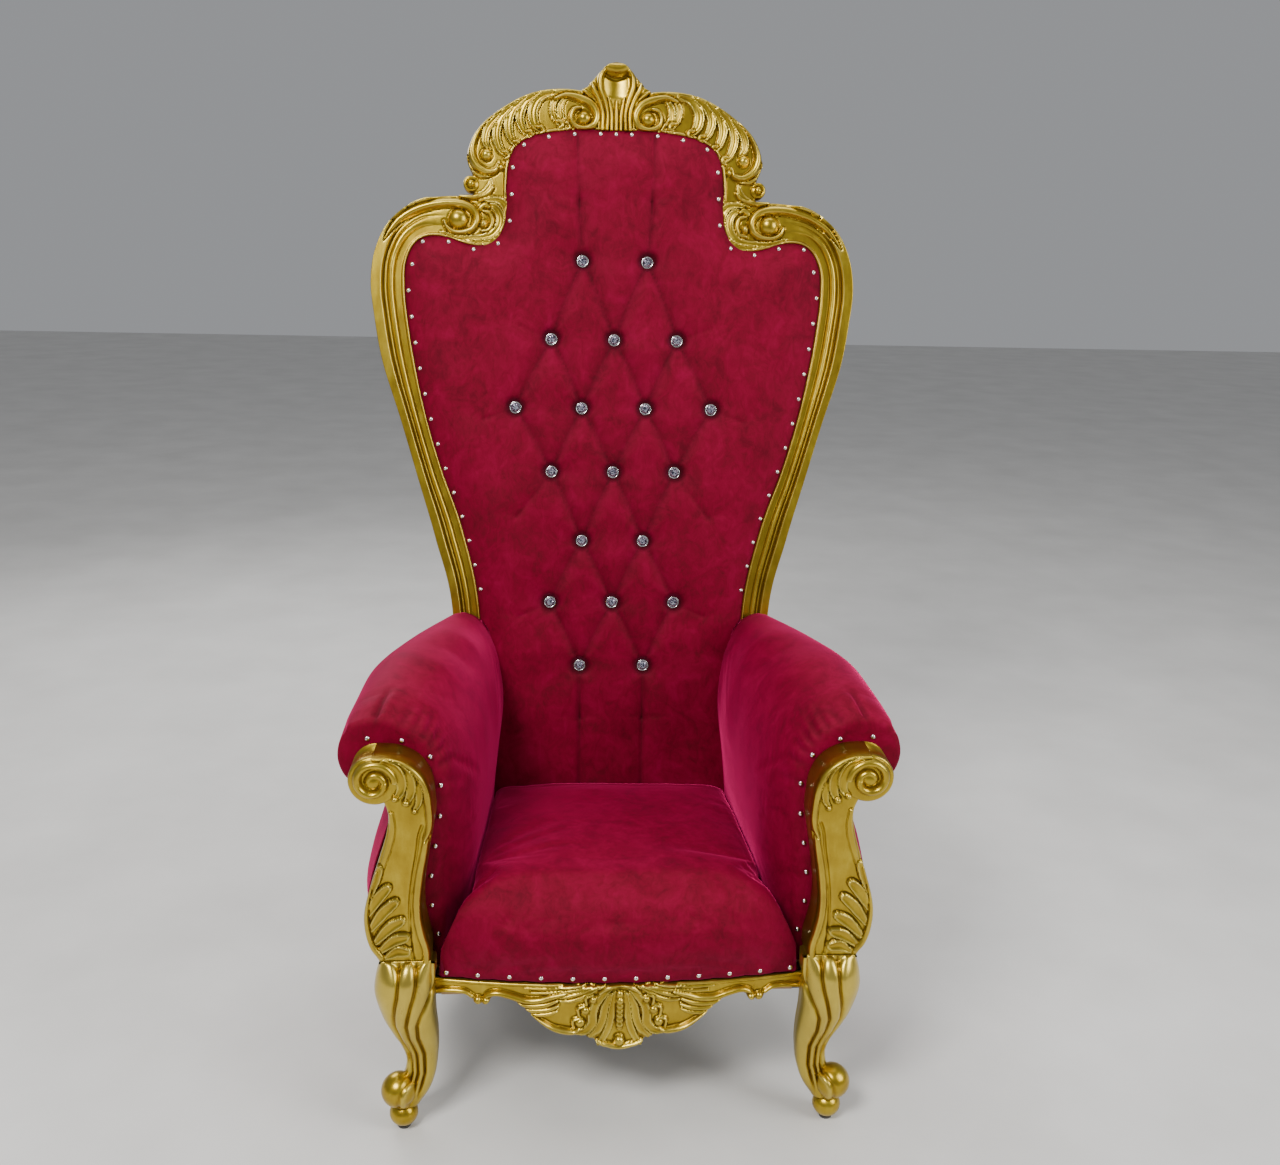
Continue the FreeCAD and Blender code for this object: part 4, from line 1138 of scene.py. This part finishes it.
def back_pad_face(x, v):
    """Height of the buttoned cover in front of the back plane, and how much painted shade it gets in folds
    and along its edge.
    """
    d = np.maximum(within(x, v, long_outline)[0], 0)
    broad, narrow = np.zeros_like(x), np.zeros_like(x)
    for (ax, av), (bx, bv), depth in creases():
        box = (x > min(ax, bx) - 60) & (x < max(ax, bx) + 60)
        box &= (v > min(av, bv) - 30) & (v < max(av, bv) + 30)
        ux, uv = bx - ax, bv - av
        t = np.clip(((x[box] - ax) * ux + (v[box] - av) * uv) / (ux * ux + uv * uv), 0, 1)
        bow = 14 * np.sign(ux) * t * (1 - t) * (depth == 1.0)
        over, above = x[box] - ax - t * ux - bow, v[box] - av - t * uv
        s = np.hypot(over, above) * np.sign(above + 1e-6)
        # a fold is steeper on its upper side, where the padding above hangs over it
        ends = np.abs(2 * t - 1) ** 2
        wide = depth * (7.0 + 2.0 * ends) * np.exp(-(np.abs(s) / np.where(s > 0, 24, 15)) ** 1.25)
        thin = depth * (4.2 + 3.0 * ends) * np.exp(-(np.abs(s) / np.where(s > 0, 1.7, 3.6)) ** 1.5)
        broad[box], narrow[box] = np.maximum(broad[box], wide), np.maximum(narrow[box], thin)
    for bx, bv in buttons():
        r = np.hypot(x - bx, v - bv)
        broad = np.maximum(broad, 11.0 * np.exp(-(r / 32) ** 1.2))
        narrow = np.maximum(narrow, 13.0 * np.exp(-(r / 17) ** 4))
    rise = np.sin(np.clip((d - 1.5) / 80, 0, 1) * np.pi / 2) ** 0.72
    h = PAD_EDGE + (PAD_HEIGHT - PAD_EDGE) * rise - (broad + narrow) * smooth(0, 30, d)
    # painted shade: darkest in the narrow folds and button dimples, lighter over the broad hollows, and
    # along the edge by the frame
    painted_shade_and_glaze = np.clip(narrow / 9 + broad / 26 - 0.08, 0, 1)
    return h, np.maximum(painted_shade_and_glaze, 0.35 * np.exp(-(d / 9) ** 2))


pad_outline = half_outline(PAD_SHARE, PAD_BOTTOM)
long_outline = half_outline(PAD_SHARE, PAD_BOTTOM - PLEAT_RUN)


def uneven_pad_face(x, v, d):
    h, shade = back_pad_face(x, v)
    if d.any():
        h = h + rough_field(x.shape, 16, 1.6) * smooth(10, 60, d)
    return h, shade


made = shaped(pad_outline, 3.6, uneven_pad_face, lambda x, v, h: np.full_like(x, PAD_REAR), on_back)
back_cushion = mesh_object("back_cushion", made, VELVET, ["back_cover", "back_foam"])


# The seat: a crowned top that rolls over at the front and meets the rail.

SEAT_FOOT = 284.0
SEAT_FRONT_TOP = 440.0
SEAT_REAR_TOP = 408.0
SEAT_REAR_Y = 464.0
SEAT_ROLL = 50.0
SEAT_NAIL_PITCH = 53.1
# (distance along the profile from the foot, half width)
SEAT_WIDTH = ((0, 305), (56, 300), (110, 282), (150, 268), (190, 255), (235, 250), (420, 240), (620, 232))


def seat():
    front = [(-32.5, SEAT_FOOT), (-33.5, 292), (-35.5, 315), (-37, 345), (-35, 372)]
    angles = np.radians(np.linspace(192, 96, 14))
    roll = [(SEAT_ROLL - 32.5 + (SEAT_ROLL + 1) * math.cos(a),
             SEAT_FRONT_TOP - SEAT_ROLL + SEAT_ROLL * math.sin(a)) for a in angles]
    top = []
    for y in np.linspace(40, SEAT_REAR_Y, 24):
        u = (y - 20) / (SEAT_REAR_Y - 20)
        fall = (SEAT_FRONT_TOP - SEAT_REAR_TOP) * u ** 1.3
        top.append((y, SEAT_FRONT_TOP - fall + 5 * math.sin(math.pi * u)))
    line = curve(front + roll[2:] + top, 190)
    y0, z0 = line[:, 0], line[:, 1]
    s = np.sin(np.linspace(-1, 1, 171) * np.pi / 2 * 0.985) / math.sin(np.pi / 2 * 0.985)
    half = blurred(np.interp(lengths(line), *np.array(SEAT_WIDTH, float).T)[:, None], 4)[:, 0]
    x = half[:, None] * s[None, :]
    u = np.clip((y0 + 33) / (SEAT_REAR_Y + 33), 0, 1)[:, None]
    y = y0[:, None] + (bow_y(x) - BOW_MIDDLE_Y) * (1 - u)
    inside = half[:, None] * (1 - np.abs(s))[None, :]
    fall = rounded(inside, 48, 27)
    up = np.clip((z0 - SEAT_FOOT) / (SEAT_FRONT_TOP - SEAT_FOOT), 0, 1)[:, None]
    z = z0[:, None] - fall * up ** 2.2
    z = z + (3 + 9 * smooth(0.4, 1.0, u)) * up ** 3 * np.cos(s * np.pi / 2)[None, :]
    y = y + fall * 0.16 * smooth(0.9, 0.2, u) * (1 - up ** 4)
    # slight pulls between the nails, and soft folds that run up from the front corners
    above = z - SEAT_FOOT
    y = y + 1.6 * smooth(60, 0, above) * (u < 0.12) * np.cos(x / SEAT_NAIL_PITCH * 2 * np.pi) ** 3
    for side in (-1, 1):
        for start, slope, size in ((252, 0.55, 2.6), (222, 0.85, 1.6)):
            path = side * (start - above * slope)
            fold = np.exp(-((x - path) / 7.5) ** 2) * smooth(8, 34, above) * smooth(150, 60, above)
            y = y + size * fold * (u < 0.2)
    z = z + rough_field(z.shape, 17, 2.2) * up ** 2
    rear = smooth(0.90, 1.0, u)
    walls = [xyz(x[:, k], y[:, k], SEAT_FOOT - 1.5) for k in (-1, 0)]
    # painted shade along the sides, towards the rear and low by the rail; the walls beneath get a middling
    # painted shade
    painted_shade_and_glaze = np.clip(0.30 * np.exp(-inside / 12) + 0.35 * rear + 0.3 * smooth(14, 0, z - SEAT_FOOT), 0, 0.8)
    return walled(xyz(x, y, z), walls, painted_shade_and_glaze, 0.5)


seat_cushion = mesh_object("seat_cushion", seat(), VELVET, ["seat_cover", "seat_foam"])


def seat_held(p):
    """The seat cover is tacked along the rail and held between the arms and at the back."""
    y = p[:, 1] * 1000 + ORIGIN_Y
    beside_arm = np.abs(p[:, 0]) > np.interp(y, [110, 464], [0.240, 0.222])
    return (p[:, 2] < 0.300) | (y > 450) | ((y > 110) & beside_arm)


shift(seat_cushion, swell(seat_cushion, seat_held, 0.012))


# The arms: sections (x, z) of the padding at places along Y, inner side first, over the top and round, and
# three points of the wooden core behind it.

ARM_SECTIONS = [
    (20.5,
     [(299, 327), (301, 380), (309, 450), (298, 535), (289, 600), (292, 648), (312, 696), (350, 725),
      (396, 738), (436, 728), (456, 702), (462, 668), (450, 636), (425, 622)],
     [(376, 607), (330, 603), (348, 327)]),
    (80.0,
     [(273, 327), (262, 380), (254, 460), (250, 540), (252, 600), (262, 650), (288, 704), (325, 742),
      (372, 760), (414, 755), (444, 732), (458, 696), (450, 656), (424, 634)],
     [(385, 613), (340, 609), (336, 327)]),
    (250.0,
     [(247, 327), (247, 400), (242, 470), (232, 540), (231, 600), (238, 655), (262, 712), (300, 752),
      (352, 772), (400, 766), (436, 738), (450, 700), (440, 664), (404, 644)],
     [(379, 627), (334, 622), (302, 327)]),
    (400.0,
     [(238, 327), (240, 395), (234, 462), (222, 550), (221, 605), (227, 658), (248, 712), (280, 748),
      (324, 766), (368, 758), (400, 730), (410, 696), (398, 670), (366, 656)],
     [(346, 639), (302, 635), (272, 327)]),
    (560.0,
     [(232, 327), (233, 395), (226, 470), (215, 555), (214, 610), (220, 660), (238, 708), (262, 738),
      (292, 752), (320, 742), (338, 716), (342, 690), (336, 672), (316, 664)],
     [(301, 651), (258, 647), (240, 327)]),
]
# The arm's outer side at the post, and at places along Y: how far out it moves, how much of the post's
# shape it keeps, the straight line it turns into instead, and where it ends at the top.
ARM_SIDE_PROFILE = [(398, 224), (399, 286), (400, 326), (414, 372), (419, 415), (407, 471), (391, 520),
                    (378, 562), (374, 604)]
ARM_SIDE_PLACES = [(20.5, 0, 1.0, 0, 604), (130.0, 12, 1.0, 0, 613), (300.0, 0, 0.4, 368, 627),
                   (440.0, 0, 0.1, 328, 638), (556.0, 0, 0.0, 302, 648)]
ARM_BOTTOM = 288.0
ARM_FRONT = 21.5
# Gathers at the front of the arm, that spread from the post's scroll: the angle round the scroll, half
# width and depth, how far back each runs, and how far it leans in degrees for every mm.
ARM_GATHERS = [
    (88, 3.2, 6.0, 105, 0.10), (118, 4.5, 3.0, 70, 0.05), (133, 3.4, 3.6, 80, -0.04),
    (146, 3.0, 3.8, 85, -0.08), (157, 2.8, 3.6, 75, -0.10), (168, 2.8, 3.0, 62, -0.10),
    (180, 3.0, 2.6, 55, -0.06), (48, 4.0, 3.2, 60, -0.06), (196, 3.4, 1.8, 60, -0.02),
]


def arm_pad():
    around = 150
    y = np.r_[np.linspace(ARM_FRONT, 110, 46), np.linspace(114, 560, 90)]
    fine_y = np.arange(-60, 641, 4.0)

    def along(lists):
        """Points at every y, from those of the sections, with the corners between sections smoothed."""
        known = np.array([section[0] for section in ARM_SECTIONS])
        lists = np.stack(lists)
        flat = lists.reshape(len(known), -1)
        slope = np.diff(flat, axis=0) / np.diff(known)[:, None]
        table = sampled(flat, known, fine_y)
        table += np.minimum(fine_y - known[0], 0)[:, None] * slope[0]
        table += np.maximum(fine_y - known[-1], 0)[:, None] * slope[-1]
        for _ in range(60):
            table[1:-1] = (table[:-2] + 2 * table[1:-1] + table[2:]) / 4
        return sampled(table, fine_y, y).reshape(len(y), *lists.shape[1:])

    skin = along([curve([(skin[0][0], ARM_BOTTOM)] + skin, around) for _, skin, _ in ARM_SECTIONS])
    core = along([[*core[:2], (core[2][0], ARM_BOTTOM)] for _, _, core in ARM_SECTIONS])
    step = np.gradient(skin, axis=1)
    out = np.stack([-step[..., 1], step[..., 0]], -1)
    out /= np.linalg.norm(out, axis=-1, keepdims=True)
    share = np.linspace(0, 1, around)
    # fullness between the fixed edges, and gathers that spread from the scroll of the post
    angle = np.degrees(np.arctan2(skin[..., 1] - SCROLL_Z, skin[..., 0] - SCROLL_X)) % 360
    back = y[:, None] - ARM_FRONT
    bulge = np.zeros(angle.shape)
    for centre, width, depth, reach, lean in ARM_GATHERS:
        off = angle - centre - lean * back
        fade = smooth(reach, reach * 0.25, back) * smooth(-2, 10, back)
        bulge -= depth * fade * np.exp(-(off / width) ** 2)
        bulge += 0.5 * depth * fade * np.exp(-((off - 2.3 * width) / (1.5 * width)) ** 2)
    # painted shade in the gathers
    shade = np.clip(-bulge / 8, 0, 0.55)
    bulge += rough_field(bulge.shape, 14, 2.4) * np.sin(np.pi * share) * smooth(0, 60, back)
    dip = 3.0 * np.exp(-((back - 62) / 26) ** 2) * smooth(0.30, 0.42, share) * smooth(0.66, 0.54, share)
    skin = skin + out * (bulge - dip)[..., None]
    # the front edge is rounded more on the inner side than at the outer corner
    radius = np.interp(share, [0, 0.30, 0.45, 0.62, 0.72, 1], [9, 14, 24, 20, 7, 5])
    skin = skin - out * rounded(back, radius)[..., None]

    def place(points):
        """The rear end stops at the leaning back: at the cushion inside, at the stile outside."""
        v = (points[..., 1] - BACK_Z) / math.cos(BACK_LEAN)
        h = np.interp(points[..., 0], [205, 235, 262, 264], [17, 12, 4, 6])
        end = BACK_Y + v * math.sin(BACK_LEAN) - h * math.cos(BACK_LEAN)
        return xyz(points[..., 0], np.minimum(y[:, None], end), points[..., 1])

    rows = np.concatenate([place(skin), place(core)], 1)
    # two flat rings close the front behind the post
    centre = np.array([(372, ARM_FRONT, 640)])
    rings = np.concatenate([[centre + (rows[0] - centre) * (k, 0, k) for k in (0.86, 0.96)], rows], 0)
    # painted shade on the hidden core, under the outer roll, low on the inner side and towards the back
    hidden = np.full((len(y), core.shape[1]), 0.5)
    under = 0.45 * smooth(0.88, 1.0, share)[None, :] + 0.35 * smooth(0.10, 0.0, share)[None, :]
    behind = 0.45 * smooth(470, 545, y)[:, None]
    shade = np.concatenate([np.clip(shade + under + behind, 0, 0.85), hidden], 1)
    return tube(rings, np.concatenate([shade[:1], shade[:1], shade], 0))


def arm_held(p):
    """An arm cover is tacked behind the post, under the roll, along the seat and at the back."""
    y, z = p[:, 1] * 1000 + ORIGIN_Y, p[:, 2] * 1000
    plane = BACK_Y + (z - BACK_Z) * math.tan(BACK_LEAN)
    return (z < 400) | (y < ARM_FRONT + 14) | (y > plane - 34) | ((p[:, 0] > 0.36) & (z < 668))


arms = both_sides("arm_pad", arm_pad(), VELVET, ["arm_cover", "arm_foam"])
arm_move = swell(arms["right"], arm_held, 0.009)
shift(arms["right"], arm_move)
shift(arms["left"], arm_move * (-1, 1, 1))


# ---------------------------------------------------------------- outer cloths

CLOTH = 2.2
BACK_CLOTH_H = -48.6
DUST_Z = 224.4
DUST_OUTLINE = [(371, 33), (302, 462), (256, 462), (256, 483), (-256, 483), (-256, 462), (-302, 462),
                (-371, 33)]


def taut(full, edge):
    """Cloth pulled over a frame: rounded at its edge, slightly full, with faint pulls from the tacks."""
    def face(x, y, d):
        h = edge - rounded(d, edge) + full * smooth(0, 160, d)
        h = h + 0.5 * np.exp(-d / 22) * np.cos((x + y) / 24 * np.pi) * smooth(0, 6, d)
        if d.any():
            h = h + rough_field(x.shape, 12, 0.9) * smooth(4, 50, d)
        # painted shade along the edge
        return h, 0.4 * np.exp(-d / 6)
    return face


def subdivided(corners, count=30):
    """A closed outline with points along its sides."""
    c = np.asarray(corners, float)
    share = np.linspace(0, 1, count, endpoint=False)[:, None]
    return np.vstack([a + (b - a) * share for a, b in zip(c, np.roll(c, -1, 0))])


def arm_cloth():
    """The outer side of an arm: it follows the post at the front and is straight at the stile."""
    known = np.array([place[0] for place in ARM_SIDE_PLACES])
    low, high = ARM_SIDE_PROFILE[0][1], ARM_SIDE_PROFILE[-1][1]
    lines = []
    for _, out, share, straight, top in ARM_SIDE_PLACES:
        line = [(x * share + straight * (1 - share) + out, low + (z - low) * (top + 6 - low) / (high - low))
                for x, z in ARM_SIDE_PROFILE]
        lines.append(curve(line, 60).ravel())
    y = np.linspace(21, 556, 90)
    grid = curve(np.column_stack([known, np.stack(lines)]), 400)
    x, z = np.moveaxis(sampled(grid[:, 1:], grid[:, 0], y).reshape(len(y), 60, 2), 2, 0)
    share = np.linspace(0, 1, 60)
    sag = 1.5 * np.sin(np.pi * share) * np.sin(np.pi * np.clip((y - 21) / 500, 0, 1))[:, None]
    pulls = 0.4 * np.exp(-share * 10) * np.cos(y / 62 * 2 * np.pi)[:, None]
    x = x + CLOTH + 0.8 + pulls - sag + rough_field(sag.shape, 10, 1.0) * np.sin(np.pi * share)
    # the rear edge follows the leaning stile, and lower down the end of the side rail
    end = BACK_Y + (z - BACK_Z) * math.tan(BACK_LEAN) - 5 * math.cos(BACK_LEAN)
    end = np.maximum(end, 474 - 200 * smooth(328, 400, z))
    turned = smooth(-4, 2, y[:, None] - end)
    outer = xyz(x, np.minimum(y[:, None], end), z)
    # the inner layer lies beside the outer one, and in front of it where the cloth turns in
    inner = outer - xyz(CLOTH * (1 - 0.5 * turned), CLOTH * turned, 0.0)
    # painted shade along the top and bottom edges
    edge = 0.4 * np.exp(-np.minimum(share, 1 - share) * 30)
    return tube(np.concatenate([outer, inner[:, ::-1]], 1), np.r_[edge, edge])


for side, cloth in both_sides("outer_arm_cloth", arm_cloth(), VELVET, ["outer_arm_cover"]).items():
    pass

back_outline = half_outline(0.33, -150, [(256, -226), (256, -158), (288, -154)])
made = shaped(back_outline, 8.0, taut(2.0, 1.6), lambda x, v, h: h - CLOTH,
              lambda x, v, h: on_back(x, v, BACK_CLOTH_H - h), True)
mesh_object("outer_back_cloth", made, VELVET, ["outer_back_cover"])

made = shaped(subdivided(DUST_OUTLINE), 9.0, taut(4.0, 1.4), lambda x, y, h: h + 1.2,
              lambda x, y, h: xyz(x, y, DUST_Z - h), True)
mesh_object("dust_cloth", made, LINING, ["dust_cover"])


# ---------------------------------------------------------------- nails and crystals

# Turned shapes: (radius, height) pairs.
NAIL = [(0.5, 3.0), (1.9, 2.7), (3.1, 2.0), (4.0, 0.9), (4.3, 0.1), (4.3, -0.5), (3.6, -0.7), (1.1, -0.7),
        (1.0, -9), (0.4, -12)]
CUP = [(8.6, 4.4), (9.8, 6.0), (10.9, 6.7), (11.9, 6.0), (12.2, 4.4), (11.6, 1.6), (8.0, 0.2), (1.5, -0.5),
       (1.2, -14)]
STONE = [(3.0, 1.4), (9.4, 5.0), (9.4, 5.8), (8.2, 8.0), (5.6, 9.9), (5.4, 10.0)]
NAIL_INSET = 7.5
BACK_NAIL_PITCH = 50.0
ARM_NAIL_PITCH = 56.0
ARM_NAIL_LINE = [(412, 706), (370, 707), (322, 688), (297, 648), (296, 588), (306, 528), (316, 460),
                 (316, 400), (307, 348)]
SEAT_NAIL_X = 292.0
BACK_NORMAL = np.array((0, -math.cos(BACK_LEAN), math.sin(BACK_LEAN)))


def lathe(profile, centre, axis, count=14, twist=0.0):
    """A turned part: (radius, distance along the axis) pairs about a centre, each ring twisted on."""
    axis = np.asarray(axis, float) / np.linalg.norm(axis)
    u = np.cross(axis, (1, 0, 0))
    u /= np.linalg.norm(u)
    w = np.cross(axis, u)
    angles = [turns(count)[:, None] + twist * k for k in range(len(profile))]
    return tube(np.stack([centre + axis * along + radius * (np.cos(a) * u + np.sin(a) * w)
                          for (radius, along), a in zip(profile, angles)]))


def spread(line, pitch):
    """Points at an even pitch along a line, both ends included."""
    line = np.asarray(line, float)
    along = lengths(line)
    return sampled(line, along, np.linspace(0, along[-1], int(round(along[-1] / pitch)) + 1))


def nail_piece(name, cad_name, points, axis):
    mesh_object(name, merged([lathe(NAIL, p, axis) for p in points]), NICKEL, [cad_name])


# The back nails follow the frame's inner edge on both sides and meet at the top.
line = band_points(STILE[3:] + SHOULDER[1:] + CREST[1:], 4.0)[:, 2:]
tangent = np.gradient(line, axis=0)
normal = np.stack([-tangent[:, 1], tangent[:, 0]], 1) / np.linalg.norm(tangent, axis=1)[:, None]
right = spread(np.vstack([(262, 352), line + normal * NAIL_INSET]), BACK_NAIL_PITCH)
x, v = np.vstack([right, right * (-1, 1), [(0, right[-1, 1])]]).T
nail_piece("back_nail_heads", "back_nails", on_back(x, v, back_pad_face(x, v)[0] + 0.6), BACK_NORMAL)

x, z = spread(ARM_NAIL_LINE, ARM_NAIL_PITCH).T
for sign, side in ((1, "right"), (-1, "left")):
    nail_piece(f"arm_nail_heads_{side}", f"arm_nails_{side}", xyz(sign * x, ARM_FRONT - 0.8, z), (0, -1, 0))

x = np.linspace(-SEAT_NAIL_X, SEAT_NAIL_X, 12)
nail_piece("seat_nail_heads", "seat_nails", xyz(x, bow_y(x) + 0.2, 292.0), (0, -1, 0.05))

centres = [on_back(x, v, 0.0) for x, v in buttons()]
cups = merged([lathe(CUP, c, BACK_NORMAL, 28) for c in centres])
mesh_object("crystal_cups", cups, NICKEL, ["button_rims"])
stones = merged([lathe(STONE, c, BACK_NORMAL, 12, math.pi / 12) for c in centres])
mesh_object("crystals", stones, CRYSTAL, ["crystal_buttons"], smooth_faces=False)


# ---------------------------------------------------------------- camera, light and floor

# The photograph's viewpoint: place in metres, turn to the right, downwards and about the line of sight.
CAMERA_PLACE = (-0.1053, -2.1999, 1.5179)
CAMERA_YAW, CAMERA_PITCH, CAMERA_ROLL = (math.radians(a) for a in (3.8548, 16.2808, 1.3441))
CAMERA_LENS = 35.09
# Lights: name, place, aim, size in metres, power in watts and colour.
LIGHTS = [
    ("key", (-1.6, -2.6, 3.6), (0, 0, 0.9), (1.3, 1.1), 175, (1.0, 0.98, 0.95)),
    ("fill", (2.8, -1.8, 2.2), (0, 0, 0.9), (1.6, 2.0), 85, (1, 1, 1)),
    ("top", (0, 0.6, 4.2), (0, 0, 0.9), (3.0, 2.4), 75, (1, 1, 1)),
    ("rim", (-1.8, 2.6, 2.6), (0, 0, 1.0), (1.6, 1.6), 50, (1, 1, 1)),
]
WORLD_STRENGTH = 0.36
FLOOR_HALF = 14.0


def camera():
    yaw, pitch, roll = CAMERA_YAW, CAMERA_PITCH, CAMERA_ROLL
    ahead = Vector((math.sin(yaw) * math.cos(pitch), math.cos(yaw) * math.cos(pitch), -math.sin(pitch)))
    right = Vector((math.cos(yaw), -math.sin(yaw), 0))
    down = ahead.cross(right)
    x = right * math.cos(roll) - down * math.sin(roll)
    y = -(right * math.sin(roll) + down * math.cos(roll))
    data = bpy.data.cameras.new("camera")
    data.lens = CAMERA_LENS
    data.sensor_width = 36.0
    data.clip_end = 60
    obj = placed("camera", data)
    turn = Matrix((x, y, -ahead)).transposed()
    obj.matrix_world = Matrix.Translation(CAMERA_PLACE) @ turn.to_4x4()
    bpy.context.scene.camera = obj


def floor():
    mat, tree, shader = nodes_of("floor")
    colour = ramp(tree, noise(tree, 3, 4), [(0.3, (0.60, 0.59, 0.57)), (0.7, (0.68, 0.67, 0.65))])
    wire(tree, shader, {"Base Color": colour, "Roughness": 0.7})
    mesh = bpy.data.meshes.new("floor")
    corners = [(x * FLOOR_HALF, y * FLOOR_HALF, 0) for x, y in ((-1, -1), (1, -1), (1, 1), (-1, 1))]
    mesh.from_pydata(corners, [], [(0, 1, 2, 3)])
    mesh.materials.append(mat)
    placed("floor", mesh)


def light(name, place, aim, size, power, colour):
    data = bpy.data.lights.new(name, "AREA")
    data.shape = "RECTANGLE"
    data.size, data.size_y = size
    data.energy = power
    data.color = colour
    obj = placed(name, data)
    obj.location = place
    obj.rotation_euler = (Vector(aim) - Vector(place)).to_track_quat("-Z", "Y").to_euler()


def world():
    scene_world = bpy.data.worlds.new("studio")
    scene_world.use_nodes = True
    tree = scene_world.node_tree
    back = tree.nodes["Background"]
    back.inputs["Color"].default_value = (0.86, 0.88, 0.92, 1)
    back.inputs["Strength"].default_value = WORLD_STRENGTH
    bpy.context.scene.world = scene_world


camera()
floor()
world()
for settings in LIGHTS:
    light(*settings)
